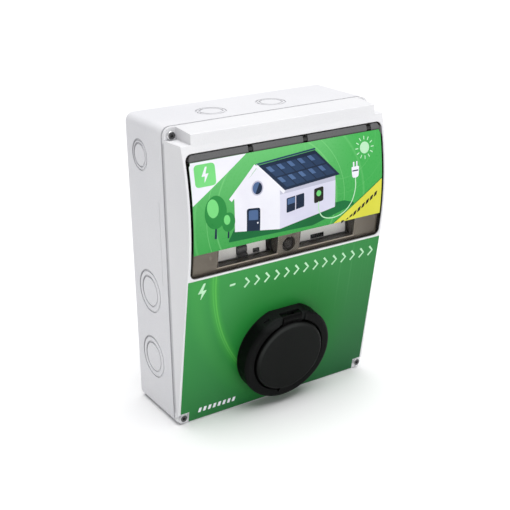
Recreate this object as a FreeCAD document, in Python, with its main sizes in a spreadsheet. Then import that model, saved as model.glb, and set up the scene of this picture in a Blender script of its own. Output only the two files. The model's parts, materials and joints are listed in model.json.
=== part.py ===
import FreeCAD, Part
import Sketcher
import math
import os

# ---------------------------------------------------------------------------
# Wall-mounted charging station: a deep back box, a screwed front cover with an
# arched hinged window over two rows of switchgear, and a round socket outlet
# with a sprung lid on the lower, leaning face.
# Millimetres.  X to the right, the wall is the plane Y = 0 and the front looks
# to -Y, Z up.  Origin: middle of the four wall fixing holes on the back face.
# ---------------------------------------------------------------------------

V = FreeCAD.Vector
doc = FreeCAD.newDocument("ev_charging_station")
sheet = doc.addObject("Spreadsheet::Sheet", "Sizes")


class Q:
    """A number with the sheet expression that gives it."""

    def __init__(self, v, s):
        self.v = float(v)
        self.s = s

    @staticmethod
    def of(a):
        return a if isinstance(a, Q) else Q(a, repr(float(a)))

    def __add__(self, o):
        o = Q.of(o)
        return Q(self.v + o.v, "(%s + %s)" % (self.s, o.s))

    def __radd__(self, o):
        return Q.of(o) + self

    def __sub__(self, o):
        o = Q.of(o)
        return Q(self.v - o.v, "(%s - %s)" % (self.s, o.s))

    def __rsub__(self, o):
        return Q.of(o) - self

    def __mul__(self, o):
        o = Q.of(o)
        return Q(self.v * o.v, "(%s * %s)" % (self.s, o.s))

    def __rmul__(self, o):
        return Q.of(o) * self

    def __truediv__(self, o):
        o = Q.of(o)
        return Q(self.v / o.v, "(%s / %s)" % (self.s, o.s))

    def __neg__(self):
        return Q(-self.v, "(0 - %s)" % self.s)


def qsqrt(a):
    return Q(math.sqrt(a.v), "sqrt(%s)" % a.s)


_row = [0]


def size(name, value):
    _row[0] += 1
    sheet.set("A%d" % _row[0], name)
    sheet.set("B%d" % _row[0], repr(float(value)))
    sheet.setAlias("B%d" % _row[0], name)
    return Q(value, "Sizes." + name)


# ------------------------------------------------------------------ sizes ---
box_w = size("box_w", 250)
box_ht = size("box_ht", 327)
base_dep = size("base_dep", 77.8)
cover_dep = size("cover_dep", 80.5)
wall_th = size("wall_th", 3.5)
corner_rad = size("corner_rad", 9)
cover_wall = size("cover_wall", 3.2)
draft_deg = size("draft_deg", 4.2)
# front profile of the cover
face_dep = size("face_dep", 84.4)
lean_deg = size("lean_deg", 10)
lean_tan = Q(math.tan(math.radians(lean_deg.v)), "tan(Sizes.lean_deg)")
lean_cos = Q(math.cos(math.radians(lean_deg.v)), "cos(Sizes.lean_deg)")
arch_low = size("arch_low", 177)
arch_rad = size("arch_rad", 298)
arch_high = size("arch_high", 313)
arch_high_dep = size("arch_high_dep", 112.8)
top_dep = size("top_dep", 111.5)
# corner notches with the cover screws
notch_w = size("notch_w", 13.5)
notch_ht = size("notch_ht", 12.6)
notch_floor = size("notch_floor", 83.5)
screw_x = size("screw_x", 117.5)
screw_z = size("screw_z", 155.6)
# window opening, recess and flap
win_half = size("win_half", 119.5)
win_low = size("win_low", 178.6)
win_high = size("win_high", 306.4)
win_rad = size("win_rad", 7)
recess_dep = size("recess_dep", 3.6)
flap_set = size("flap_set", 0.15)
flap_th = size("flap_th", 2.4)
flap_half = size("flap_half", 118.7)
flap_low = size("flap_low", 179.5)
flap_high = size("flap_high", 305)
hinge_dep = size("hinge_dep", 112.4)
hinge_z = size("hinge_z", 300.4)
pin_rad = size("pin_rad", 1.5)
run_gap = size("run_gap", 0.06)
trough_dep = size("trough_dep", 106.6)
trough_low = size("trough_low", 291.8)
eye_one = size("eye_one", -46)
eye_two = size("eye_two", 20)
eye_three = size("eye_three", 102)
eye_half = size("eye_half", 2.5)
slot_gap = size("slot_gap", 0.5)
# device openings
open_in = size("open_in", 14)
open_out = size("open_out", 86)
open_low = size("open_low", 184)
open_high = size("open_high", 230.6)
collar_th = size("collar_th", 1.5)
collar_dep = size("collar_dep", 102)
# socket outlet
sock_z = size("sock_z", 65.6)
bez_rad = size("bez_rad", 55)
bez_ht = size("bez_ht", 18.8)
bez_flat = size("bez_flat", 51.3)
gask_th = size("gask_th", 1.5)
lid_rad = size("lid_rad", 42.6)
lid_seat = size("lid_seat", 44.3)
seat_ht = size("seat_ht", 12.5)
lid_low = size("lid_low", 14)
lid_high = size("lid_high", 22.2)
lid_axis_v = size("lid_axis_v", 46.2)
lid_axis_ht = size("lid_axis_ht", 13.9)
barrel_rad = size("barrel_rad", 5)
tube_rad = size("tube_rad", 33)
tube_dep = size("tube_dep", 34)
well_rad = size("well_rad", 28.8)
well_flat = size("well_flat", 21.9)
isl_rad = size("isl_rad", 23.3)
isl_flat = size("isl_flat", 16.6)
isl_ht = size("isl_ht", 10)
carrier_th = size("carrier_th", 8)
fix_circle = size("fix_circle", 33.234)
# rails and devices
rail_len_half = size("rail_len_half", 112)
rail_up_z = size("rail_up_z", 207.3)
rail_low_z = size("rail_low_z", 75)
rail_up_dep = size("rail_up_dep", 33.5)
rail_low_dep = size("rail_low_dep", 5)
rail_th = size("rail_th", 1)
rail_ht = size("rail_ht", 7.5)
mod_half = size("mod_half", 42.5)
mod_face = size("mod_face", 22.5)
mod_shoulder = size("mod_shoulder", 44)
mod_dep = size("mod_dep", 60)
# wall fixing holes
fix_x = size("fix_x", 100)
fix_z = size("fix_z", 145)
fix_rad = size("fix_rad", 3.1)
fix_boss = size("fix_boss", 8)
fix_len = size("fix_len", 5)
# stop button
btn_z = size("btn_z", 192)
btn_cup = size("btn_cup", 8.5)
btn_seat = size("btn_seat", 108.5)

half_w = box_w / 2
half_ht = box_ht / 2


def zz(a):
    """Height above the underside of the box -> model Z."""
    return Q.of(a) - half_ht


# centre of the window arch (Y, Z), from its two end points and radius
p1y, p1z = -(face_dep + lean_tan * arch_low), zz(arch_low)
p3y, p3z = -arch_high_dep, zz(arch_high)
_dy, _dz = p3y - p1y, p3z - p1z
_ll = _dy * _dy + _dz * _dz
_hh = qsqrt(arch_rad * arch_rad - _ll / 4)
_l1 = qsqrt(_ll)
arc_cy = (p1y + p3y) / 2 + _hh * _dz / _l1
arc_cz = (p1z + p3z) / 2 - _hh * _dy / _l1


def arch_y(z_model, off):
    """Y of the arched front at model height z, off millimetres behind it."""
    rr = arch_rad - off
    d = z_model - arc_cz
    return arc_cy - qsqrt(rr * rr - d * d)


def lean_y(zb, off=0.0):
    """Y of the leaning lower face at height zb above the underside."""
    return -(face_dep + lean_tan * Q.of(zb)) + Q.of(off) / lean_cos


# ---------------------------------------------------------------- helpers ---
def body(name):
    b = doc.addObject("PartDesign::Body", name)
    b.Label = name
    return b


def bind(obj, prop, q):
    q = Q.of(q)
    if "Sizes." in q.s:
        obj.setExpression(prop, q.s)


_n = [0]


def sketch(b, plane, off=0.0):
    _n[0] += 1
    s = b.newObject("Sketcher::SketchObject", "sk%d" % _n[0])
    f = [f for f in b.Origin.OriginFeatures if f.Role == plane][0]
    s.AttachmentSupport = [(f, "")]
    s.MapMode = "FlatFace"
    off = Q.of(off)
    s.AttachmentOffset = FreeCAD.Placement(V(0, 0, off.v), FreeCAD.Rotation())
    bind(s, "AttachmentOffset.Base.z", off)
    return s


def dim(s, kind, args, q):
    q = Q.of(q)
    k = s.addConstraint(Sketcher.Constraint(kind, *args, q.v))
    bind(s, "Constraints[%d]" % k, q)


def circle(s, x, y, r):
    x, y, r = Q.of(x), Q.of(y), Q.of(r)
    g = s.addGeometry(Part.Circle(V(x.v, y.v, 0), V(0, 0, 1), r.v), False)
    dim(s, "DistanceX", (-1, 1, g, 3), x)
    dim(s, "DistanceY", (-1, 1, g, 3), y)
    dim(s, "Radius", (g,), r)


def path(s, verts):
    """Closed outline.  Each vertex is (x, y) for a straight run to the next
    one, or (x, y, r, turn, big): an arc of radius r, turn +1 anticlockwise."""
    vs = [tuple([Q.of(v[0]), Q.of(v[1])] + list(v[2:])) for v in verts]
    n = len(vs)
    geo = []
    for i in range(n):
        a, c = vs[i], vs[(i + 1) % n]
        A, C = (a[0].v, a[1].v), (c[0].v, c[1].v)
        if len(a) == 2:
            g = s.addGeometry(Part.LineSegment(V(A[0], A[1], 0), V(C[0], C[1], 0)), False)
            geo.append((g, 1, 2, None))
        else:
            r, turn = Q.of(a[2]), a[3]
            big = len(a) > 4 and a[4]
            mx, my = (A[0] + C[0]) / 2, (A[1] + C[1]) / 2
            dx, dy = C[0] - A[0], C[1] - A[1]
            L = math.hypot(dx, dy)
            h = math.sqrt(max(r.v * r.v - L * L / 4, 0.0))
            sgn = turn * (-1 if big else 1)
            cx, cy = mx - sgn * h * dy / L, my + sgn * h * dx / L
            a0 = math.atan2(A[1] - cy, A[0] - cx)
            a1 = math.atan2(C[1] - cy, C[0] - cx)
            ci = Part.Circle(V(cx, cy, 0), V(0, 0, 1), r.v)
            if turn > 0:
                if a1 < a0:
                    a1 += 2 * math.pi
                g = s.addGeometry(Part.ArcOfCircle(ci, a0, a1), False)
                geo.append((g, 1, 2, r))
            else:
                if a0 < a1:
                    a0 += 2 * math.pi
                g = s.addGeometry(Part.ArcOfCircle(ci, a1, a0), False)
                geo.append((g, 2, 1, r))
    for i in range(n):
        g, st, en, r = geo[i]
        g2, st2, en2, r2 = geo[(i + 1) % n]
        s.addConstraint(Sketcher.Constraint("Coincident", g, en, g2, st2))
    for i in range(n):
        g, st, en, r = geo[i]
        dim(s, "DistanceX", (-1, 1, g, st), vs[i][0])
        dim(s, "DistanceY", (-1, 1, g, st), vs[i][1])
        if r is None:
            continue
        nx_ = vs[(i + 1) % n]
        if abs(math.hypot(nx_[0].v - vs[i][0].v, nx_[1].v - vs[i][1].v) - 2 * r.v) < 1e-6:
            # half circle: its centre is held instead of its radius
            if abs(nx_[0].v - vs[i][0].v) < 1e-9:
                dim(s, "DistanceX", (-1, 1, g, 3), vs[i][0])
            else:
                dim(s, "DistanceY", (-1, 1, g, 3), vs[i][1])
        else:
            dim(s, "Radius", (g,), r)


def rect(s, x0, y0, x1, y1):
    path(s, [(x0, y0), (x1, y0), (x1, y1), (x0, y1)])


def rrect(s, x0, y0, x1, y1, r):
    x0, y0, x1, y1, r = Q.of(x0), Q.of(y0), Q.of(x1), Q.of(y1), Q.of(r)
    path(s, [(x0 + r, y0), (x1 - r, y0, r, 1), (x1, y0 + r), (x1, y1 - r, r, 1),
             (x1 - r, y1), (x0 + r, y1, r, 1), (x0, y1 - r), (x0, y0 + r, r, 1)])


def dshape(s, r, flat):
    r, flat = Q.of(r), Q.of(flat)
    c = qsqrt(r * r - flat * flat)
    path(s, [(c, flat), (-c, flat, r, 1, True)])


def pad(b, s, length, rev=False, taper=None):
    _n[0] += 1
    p = b.newObject("PartDesign::Pad", "pad%d" % _n[0])
    p.Profile = s
    length = Q.of(length)
    p.Length = length.v
    bind(p, "Length", length)
    p.Reversed = rev
    if taper is not None:
        p.TaperAngle = taper.v
        bind(p, "TaperAngle", taper)
    s.Visibility = False
    b.recompute(True)
    return p


def cut(b, s, length, fwd):
    """Pocket.  fwd True removes along the sketch normal, False against it."""
    _n[0] += 1
    before = b.Shape.Volume
    p = b.newObject("PartDesign::Pocket", "cut%d" % _n[0])
    p.Profile = s
    length = Q.of(length)
    p.Length = length.v
    bind(p, "Length", length)
    p.Reversed = fwd
    b.recompute(True)
    if not b.Shape.Volume < before - 1e-3:
        raise RuntimeError("nothing removed by %s in %s" % (p.Name, b.Label))
    return p


def through(b, plane, draw, lo, hi):
    """Remove an outline between two offsets of a plane."""
    s = sketch(b, plane, lo)
    draw(s)
    return cut(b, s, Q.of(hi) - Q.of(lo), True)


def add(b, plane, draw, lo, hi, taper=None):
    """Add an outline between two offsets of a plane."""
    s = sketch(b, plane, lo)
    draw(s)
    return pad(b, s, Q.of(hi) - Q.of(lo), taper=taper)


def fillet(b, pick, r):
    f = b.Tip
    names = ["Edge%d" % (i + 1) for i, e in enumerate(f.Shape.Edges) if pick(e)]
    if not names:
        raise RuntimeError("no edge to round in " + b.Label)
    _n[0] += 1
    q = b.newObject("PartDesign::Fillet", "fil%d" % _n[0])
    q.Base = (f, names)
    r = Q.of(r)
    q.Radius = r.v
    bind(q, "Radius", r)
    b.recompute(True)
    return q


def boolean(kind, name, base, tool):
    o = doc.addObject(kind, name)
    o.Label = name
    if kind == "Part::MultiFuse":
        o.Shapes = [base, tool]
    else:
        o.Base = base
        o.Tool = tool
    doc.recompute()
    return o


def on_face(b):
    """Place a body modelled about the socket axis onto the leaning face."""
    b.Placement = FreeCAD.Placement(V(0, lean_y(sock_z).v, zz(sock_z).v),
                                    FreeCAD.Rotation(V(1, 0, 0), 90 + lean_deg.v))
    bind(b, "Placement.Base.y", lean_y(sock_z))
    bind(b, "Placement.Base.z", zz(sock_z))
    b.setExpression("Placement.Rotation.Angle", "90 + Sizes.lean_deg")
    doc.recompute()
    return b


def signs():
    return [(-1, -1), (1, -1), (1, 1), (-1, 1)]


nodes = []


def node(o):
    nodes.append(o)
    return o


# --------------------------------------------------------------- back box ---
b = body("back_box")
add(b, "XZ_Plane", lambda s: rrect(s, -half_w, -half_ht, half_w, half_ht, corner_rad), 0, base_dep)
fillet(b, lambda e: e.BoundBox.YMin > -0.01, 1.6)
in_w, in_ht = half_w - wall_th, half_ht - wall_th
through(b, "XZ_Plane", lambda s: rrect(s, -in_w, -in_ht, in_w, in_ht, corner_rad - wall_th),
        wall_th, base_dep + 1)


def posts(r):
    def f(s):
        for i, j in signs():
            circle(s, screw_x * i, screw_z * j, r)
    return f


# screw towers grow out of the corners and carry the cover
add(b, "XZ_Plane", posts(4.6), wall_th - 1, base_dep)
add(b, "XZ_Plane", posts(3.6), base_dep - 1, cover_dep)


def rail_posts(s):
    for i in (-1, 1):
        rect(s, fix_x * i - 9, zz(rail_up_z) - 12, fix_x * i + 9, zz(rail_up_z) + 12)


add(b, "XZ_Plane", rail_posts, wall_th - 1, rail_up_dep)
low_x = size("low_x", 56)


def low_pads(s):
    for i in (-1, 1):
        circle(s, low_x * i, zz(rail_low_z), 9)


add(b, "XZ_Plane", low_pads, wall_th - 1, rail_low_dep)


def fix_rings(s):
    for i, j in signs():
        circle(s, fix_x * i, fix_z * j, fix_boss)


add(b, "XZ_Plane", fix_rings, wall_th - 1, fix_len)


def ribs_back(s):
    for z in (-60, 118):
        rect(s, -92, z - 1, 92, z + 1)


add(b, "XZ_Plane", ribs_back, wall_th - 1, wall_th + 3)


def fix_holes(s):
    for i, j in signs():
        circle(s, fix_x * i, fix_z * j, fix_rad)


through(b, "XZ_Plane", fix_holes, -1, fix_len + 1)


def post_holes(s):
    for i, j in signs():
        circle(s, screw_x * i, screw_z * j, 2.5)


through(b, "XZ_Plane", post_holes, 55, cover_dep + 1)


def up_holes(s):
    for i in (-1, 1):
        circle(s, fix_x * i, zz(rail_up_z), 1.75)


through(b, "XZ_Plane", up_holes, 20, rail_up_dep + 1)


def low_holes(s):
    for i in (-1, 1):
        circle(s, low_x * i, zz(rail_low_z), 1.75)


through(b, "XZ_Plane", low_holes, 1.5, rail_low_dep + 1)
# knockouts: two concentric moulded rings each
ko = [(29.8, 288.7, 16.25, 12.75), (37, 141, 23.6, 17.2), (37.5, 63.8, 23.6, 17.2)]
ring_w = size("ring_w", 1.6)
ring_dep = size("ring_dep", 1.1)


def side_rings(s):
    for d, z, ro, ri in ko:
        for r in (ro, ri):
            circle(s, -d, zz(z), r)
            circle(s, -d, zz(z), r - ring_w)
    rect(s, -67.9, zz(158), -67.3, zz(248))


through(b, "YZ_Plane", side_rings, -half_w - 1, -half_w + ring_dep)
s = sketch(b, "YZ_Plane", half_w - ring_dep)
side_rings(s)
cut(b, s, 3, True)
top_ko = [(-49.5, 46), (24, 46)]


def top_rings(s):
    for x, d in top_ko:
        for r in (16.25, 12.75):
            circle(s, x, -d, r)
            circle(s, x, -d, r - ring_w)


through(b, "XY_Plane", top_rings, half_ht - ring_dep, half_ht + 1)
through(b, "XY_Plane", top_rings, -half_ht - 1, -half_ht + ring_dep)
node(b)

# ------------------------------------------------------------ rim gasket ---
b = body("cover_gasket")
g_out, g_in = 1.2, 3.4


def gasket_ring(s):
    for d in (g_out, g_in):
        rrect(s, -half_w + d, -half_ht + d, half_w - d, half_ht - d, corner_rad - d)


groove_dep = size("groove_dep", 1.3)
add(b, "XZ_Plane", gasket_ring, base_dep, cover_dep + groove_dep)
node(b)

# ----------------------------------------------------------- front cover ---
outer = body("cover_outer")
add(outer, "XZ_Plane", lambda s: rrect(s, -half_w, -half_ht, half_w, half_ht, corner_rad),
    cover_dep, cover_dep + 50, taper=-draft_deg)


def front_side(s):
    path(s, [(-150, zz(-12)), (lean_y(-12), zz(-12)), (p1y, p1z, arch_rad, -1),
             (p3y, p3z), (-top_dep, zz(345)), (-150, zz(345))])


through(outer, "YZ_Plane", front_side, -half_w - 10, half_w + 10)


def notches(s):
    for i, j in signs():
        x0, x1 = (half_w - notch_w) * i, (half_w + 5) * i
        z0, z1 = (half_ht - notch_ht) * j, (half_ht + 5) * j
        if x0.v > x1.v:
            x0, x1 = x1, x0
        if z0.v > z1.v:
            z0, z1 = z1, z0
        rect(s, x0, z0, x1, z1)


through(outer, "XZ_Plane", notches, notch_floor, cover_dep + 60)


def front_edges(e):
    # outline of the front face and the forward edges of the notches, but not
    # the two soft ridges where the faces of the front meet
    bb = e.BoundBox
    if bb.YMax > -notch_floor.v - 0.2:
        return False
    return not (bb.XLength > 200 and 5 < bb.ZMin < 151)


fillet(outer, front_edges, 0.8)

core = body("cover_core")
cx, cz = half_w - 6.0, half_ht - 3.3
nx, nz = half_w - notch_w - cover_wall, half_ht - notch_ht - cover_wall
add(core, "XZ_Plane", lambda s: path(s, [
    (-nx, -cz), (nx, -cz), (nx, -nz), (cx, -nz), (cx, nz), (nx, nz),
    (nx, cz), (-nx, cz), (-nx, nz), (-cx, nz), (-cx, -nz), (-nx, -nz)]),
    cover_dep - 1, cover_dep + 60)
back_off = recess_dep + cover_wall
c_lo, c_hi = zz(arch_low - 4), zz(trough_low - 4)


def core_front(s):
    path(s, [(-150, zz(-12)), (lean_y(-12, cover_wall), zz(-12)),
             (lean_y(arch_low - 4, cover_wall), c_lo),
             (arch_y(c_lo, back_off), c_lo, arch_rad - back_off, -1),
             (arch_y(c_hi, back_off), c_hi), (-(trough_dep - cover_wall), c_hi),
             (-(trough_dep - cover_wall), zz(345)), (-150, zz(345))])


through(core, "YZ_Plane", core_front, -half_w - 10, half_w + 10)
shell = boolean("Part::Cut", "cover_shell", outer, core)

# collars around the two device openings and the cup of the stop button
adds = body("cover_collars")


def collar(s):
    for i in (-1, 1):
        a, c = open_in - collar_th, open_out + collar_th
        a, c = (a, c) if i > 0 else (-c, -a)
        rect(s, a, zz(open_low - collar_th), c, zz(open_high + collar_th))


add(adds, "XZ_Plane", collar, collar_dep, 117)
add(adds, "XZ_Plane", lambda s: circle(s, 0, zz(btn_z), btn_cup + 1.8), btn_seat - 3, 117)
full = boolean("Part::MultiFuse", "cover_full", shell, adds)

# the shallow arched recess that the flap lies in, with the hinge trough
rec = body("cover_recess")
add(rec, "XZ_Plane", lambda s: rrect(s, -win_half, zz(win_low), win_half, zz(win_high), win_rad),
    trough_dep, 140)
r_lo, r_hi = zz(170), zz(trough_low)


def behind_floor(s):
    path(s, [(-90, r_lo), (-90, r_hi), (arch_y(r_hi, recess_dep), r_hi, arch_rad - recess_dep, 1),
             (arch_y(r_lo, recess_dep), r_lo)])


through(rec, "YZ_Plane", behind_floor, -half_w - 5, half_w + 5)
cupped = boolean("Part::Cut", "cover_cupped", full, rec)

# hinge eyes standing in the trough, a small stop rib and pip on the floor
eyes = body("cover_eyes")


def eye_side(s):
    path(s, [(-(trough_dep - 1), zz(hinge_z) - 2.6), (-hinge_dep, zz(hinge_z) - 2.6, 2.6, -1),
             (-hinge_dep, zz(hinge_z) + 2.6), (-(trough_dep - 1), zz(hinge_z) + 2.6)])


for c in (eye_one, eye_two, eye_three):
    add(eyes, "YZ_Plane", eye_side, c - eye_half, c + eye_half)
add(eyes, "XZ_Plane", lambda s: rect(s, -95.8, zz(195), -94.6, zz(203)), 112, 115.9)
eyed = boolean("Part::MultiFuse", "cover_eyed", cupped, eyes)

# everything that is drilled or cut through the cover from the front
holes = body("cover_holes")


def openings(s):
    for i in (-1, 1):
        a, c = (open_in, open_out) if i > 0 else (-open_out, -open_in)
        rect(s, a, zz(open_low), c, zz(open_high))


add(holes, "XZ_Plane", openings, 95, 140)
add(holes, "XZ_Plane", lambda s: circle(s, 0, zz(btn_z), btn_cup), btn_seat, 140)
add(holes, "XZ_Plane", lambda s: circle(s, 0, zz(btn_z), 6.1), 95, 140)


def screw_clear(s):
    for i, j in signs():
        circle(s, screw_x * i, screw_z * j, 2.75)


add(holes, "XZ_Plane", screw_clear, cover_dep - 5, notch_floor + 5)
add(holes, "XZ_Plane", gasket_ring, cover_dep - 3, cover_dep + groove_dep)
add(holes, "YZ_Plane", lambda s: circle(s, -hinge_dep, zz(hinge_z), pin_rad), -116.2, 106.2)
drilled = boolean("Part::Cut", "cover_drilled", eyed, holes)

socket_hole = body("cover_socket_hole")


def fix_pts():
    return [(fix_circle * i, fix_circle * j) for i, j in signs()]


def sock_cut(s):
    circle(s, 0, 0, 37.5)
    for x, y in fix_pts():
        circle(s, x, y, 2.25)


add(socket_hole, "XY_Plane", sock_cut, -20, 20)
on_face(socket_hole)
node(boolean("Part::Cut", "front_cover", drilled, socket_hole))

# ---------------------------------------------------------- cover screws ---
b = body("cover_screws")


def at_corners(r):
    def f(s):
        for i, j in signs():
            circle(s, screw_x * i, screw_z * j, r)
    return f


add(b, "XZ_Plane", at_corners(2.45), 58, notch_floor)
add(b, "XZ_Plane", at_corners(4.35), notch_floor, notch_floor + 3.4)


def hexes(s):
    for i, j in signs():
        cx_, cz_ = screw_x * i, screw_z * j
        path(s, [(cx_ + 2.0 * math.cos(math.radians(60 * k)), cz_ + 2.0 * math.sin(math.radians(60 * k)))
                 for k in range(6)])


through(b, "XZ_Plane", hexes, notch_floor + 1.2, notch_floor + 5)
fillet(b, lambda e: abs(e.BoundBox.YMin + notch_floor.v + 3.4) < 0.01
       and e.BoundBox.YLength < 0.01 and e.BoundBox.XLength > 8, 0.8)
node(b)

# ----------------------------------------------------------- window flap ---
b = body("window_flap")
f_lo, f_hi = zz(flap_low), zz(flap_high)


def flap_side(s):
    o1, o2 = flap_set, flap_set + flap_th
    path(s, [(arch_y(f_lo, o1), f_lo, arch_rad - o1, -1), (arch_y(f_hi, o1), f_hi),
             (arch_y(f_hi, o2), f_hi, arch_rad - o2, 1), (arch_y(f_lo, o2), f_lo)])


add(b, "YZ_Plane", flap_side, -flap_half, flap_half)


def outside(s):
    rect(s, -half_w, zz(170), half_w, zz(320))
    rrect(s, -flap_half, zz(flap_low), flap_half, zz(flap_high), win_rad - 0.8)


through(b, "XZ_Plane", outside, 95, 140)


def barrel(s):
    path(s, [(-hinge_dep - 1.0, zz(hinge_z) - 3.0), (-hinge_dep, zz(hinge_z) - 3.0, 3.0, 1),
             (-hinge_dep, zz(hinge_z) + 3.0), (-hinge_dep - 1.0, zz(hinge_z) + 3.0)])


ends = [(-win_half + 3.2, eye_one - eye_half), (eye_one + eye_half, eye_two - eye_half),
        (eye_two + eye_half, eye_three - eye_half)]
for lo, hi in ends:
    add(b, "YZ_Plane", barrel, lo + slot_gap, hi - slot_gap)


def eye_slots(s):
    for c in (eye_one, eye_two, eye_three):
        rect(s, c - eye_half - slot_gap, zz(hinge_z) - 2.9, c + eye_half + slot_gap, zz(320))
    # both upper corners are drawn in, so that they swing clear of the opening
    for i in (-1, 1):
        path(s, [(half_w * i, zz(291.8)), (flap_half * i, zz(291.8)), (115.9 * i, zz(296.2)),
                 (115.7 * i, zz(300.4)), (115.1 * i, zz(303)), (113.2 * i, zz(305.2)), (113.2 * i, zz(320)),
                 (half_w * i, zz(320))])


through(b, "XZ_Plane", eye_slots, 95, 140)
through(b, "YZ_Plane", lambda s: circle(s, -hinge_dep, zz(hinge_z), pin_rad + run_gap),
        -half_w, half_w)
node(b)

b = body("flap_hinge_pin")
add(b, "YZ_Plane", lambda s: circle(s, -hinge_dep, zz(hinge_z), pin_rad), -115.4, 106)
node(b)

# printed film on the flap
b = body("flap_label")
film_th = size("film_th", 0.25)
print_half = size("print_half", 116.7)
print_low = size("print_low", 205.2)
print_high = size("print_high", 298)
l_lo, l_hi = zz(print_low), zz(print_high)


def film_side(s):
    o1, o2 = flap_set - film_th, flap_set
    path(s, [(arch_y(l_lo, o1), l_lo, arch_rad - o1, -1), (arch_y(l_hi, o1), l_hi),
             (arch_y(l_hi, o2), l_hi, arch_rad - o2, 1), (arch_y(l_lo, o2), l_lo)])


add(b, "YZ_Plane", film_side, -print_half, print_half)


def film_corners(s):
    for i in (-1, 1):
        path(s, [(half_w * i, zz(294.2)), (print_half * i, zz(294.2)), (115.3 * i, zz(296.4)),
                 (115.2 * i, zz(300)), (half_w * i, zz(300))])


through(b, "XZ_Plane", film_corners, 95, 140)
node(b)

# printed film on the leaning face, cut out for the socket and the notches
b = body("front_label")


def vface(zb):
    return (Q.of(zb) - sock_z) / lean_cos


lab_x = size("lab_x", 121.4)
cut_x = size("cut_x", 110.9)


def label_outline(s):
    v0, v1, v2 = vface(1.3), vface(13.9), vface(176.2)
    path(s, [(-cut_x, v0), (cut_x, v0), (cut_x, v1), (lab_x, v1), (lab_x, v2),
             (-lab_x, v2), (-lab_x, v1), (-cut_x, v1)])
    dshape(s, bez_rad + 0.1, bez_flat + 0.1)


add(b, "XY_Plane", label_outline, 0, film_th)
node(on_face(b))

# ----------------------------------------------------------- stop button ---
b = body("stop_button_body")
add(b, "XZ_Plane", lambda s: circle(s, 0, zz(btn_z), 8.0), btn_seat, btn_seat + 2.2)
add(b, "XZ_Plane", lambda s: circle(s, 0, zz(btn_z), 6.0), 92, btn_seat + 1)
through(b, "XZ_Plane", lambda s: circle(s, 0, zz(btn_z), 5.15), btn_seat - 6, btn_seat + 5)
fillet(b, lambda e: abs(e.BoundBox.YMin + btn_seat.v + 2.2) < 0.01 and e.BoundBox.YLength < 0.01
       and e.BoundBox.XLength > 15, 0.7)
node(b)
b = body("stop_button_cap")
add(b, "XZ_Plane", lambda s: circle(s, 0, zz(btn_z), 4.8), btn_seat - 4, btn_seat + 4.3)
fillet(b, lambda e: abs(e.BoundBox.YMin + btn_seat.v + 4.3) < 0.01 and e.BoundBox.YLength < 0.01, 0.6)
node(b)
b = body("stop_button_nut")


def nut(s):
    path(s, [(9.0 * math.cos(math.radians(60 * k)), zz(btn_z) + 9.0 * math.sin(math.radians(60 * k)))
             for k in range(6)])
    circle(s, 0, zz(btn_z), 6.0)


add(b, "XZ_Plane", nut, btn_seat - 6.5, btn_seat - 3)
node(b)

# ----------------------------------------------------------------- rails ---
for name, dep, zc, sx in (("din_rail_upper", rail_up_dep, rail_up_z, fix_x),
                          ("din_rail_lower", rail_low_dep, rail_low_z, low_x)):
    b = body(name)

    def hat(s, dep=dep, zc=zc):
        y0, y1, t, c = -dep, -(dep + rail_ht), rail_th, zz(zc)
        path(s, [(y0, c - 13.5), (y1 + t, c - 13.5), (y1 + t, c - 17.5), (y1, c - 17.5),
                 (y1, c - 12.5), (y0 - t, c - 12.5), (y0 - t, c + 12.5), (y1, c + 12.5),
                 (y1, c + 17.5), (y1 + t, c + 17.5), (y1 + t, c + 13.5), (y0, c + 13.5)])
    add(b, "YZ_Plane", hat, -rail_len_half, rail_len_half)

    def rail_holes(s, zc=zc, sx=sx):
        for i in (-1, 1):
            circle(s, sx * i, zz(zc), 2.1)
        for x in (-30, 0, 30):
            rrect(s, x - 7.5, zz(zc) - 2.6, x + 7.5, zz(zc) + 2.6, 2.5)
    through(b, "XZ_Plane", rail_holes, dep - 1, dep + rail_th + 1)
    node(b)

b = body("rail_screws")
for dep, zc, sx, deep in ((rail_up_dep, rail_up_z, fix_x, 12), (rail_low_dep, rail_low_z, low_x, 3)):
    def shanks(s, zc=zc, sx=sx):
        for i in (-1, 1):
            circle(s, sx * i, zz(zc), 1.7)

    def heads(s, zc=zc, sx=sx):
        for i in (-1, 1):
            circle(s, sx * i, zz(zc), 3.6)

    def slots(s, zc=zc, sx=sx):
        for i in (-1, 1):
            rect(s, sx * i - 2.6, zz(zc) - 0.45, sx * i + 2.6, zz(zc) + 0.45)
    add(b, "XZ_Plane", shanks, dep - deep, dep + rail_th)
    add(b, "XZ_Plane", heads, dep + rail_th, dep + rail_th + 2.4)
    through(b, "XZ_Plane", slots, dep + rail_th + 1.4, dep + rail_th + 3)
node(b)


# ------------------------------------------------- devices on the rails ---
def device(name, x0, x1, dep, zc, face=mod_dep, half=mod_half, fhalf=mod_face,
           shoulder=mod_shoulder, poles=4):
    """Rail-mounted housing: seated on the rail's lips, fixed hook above."""
    b = body(name)
    seat = dep + rail_ht
    c = zz(zc)

    def side(s):
        y0, y1, ys, yf = -(seat - 4), -seat, -(seat + shoulder), -(seat + face)
        path(s, [(y0, c - half), (ys, c - half), (ys, c - fhalf), (yf, c - fhalf),
                 (yf, c + fhalf), (ys, c + fhalf), (ys, c + half), (y0, c + half),
                 (y0, c + 16.4), (y0 - 2.7, c + 16.4), (y0 - 2.7, c + 17.8), (y1, c + 17.8),
                 (y1, c - 17.8), (y0, c - 17.8)])
    add(b, "YZ_Plane", side, x0, x1)
    mid = (Q.of(x0) + Q.of(x1)) / 2

    def clip_way(s):
        rect(s, mid - 6.4, c - half - 1, mid + 6.4, c - 17)
    through(b, "XZ_Plane", clip_way, seat - 4.5, seat - 0.7)
    return b, seat, c, mid


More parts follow.
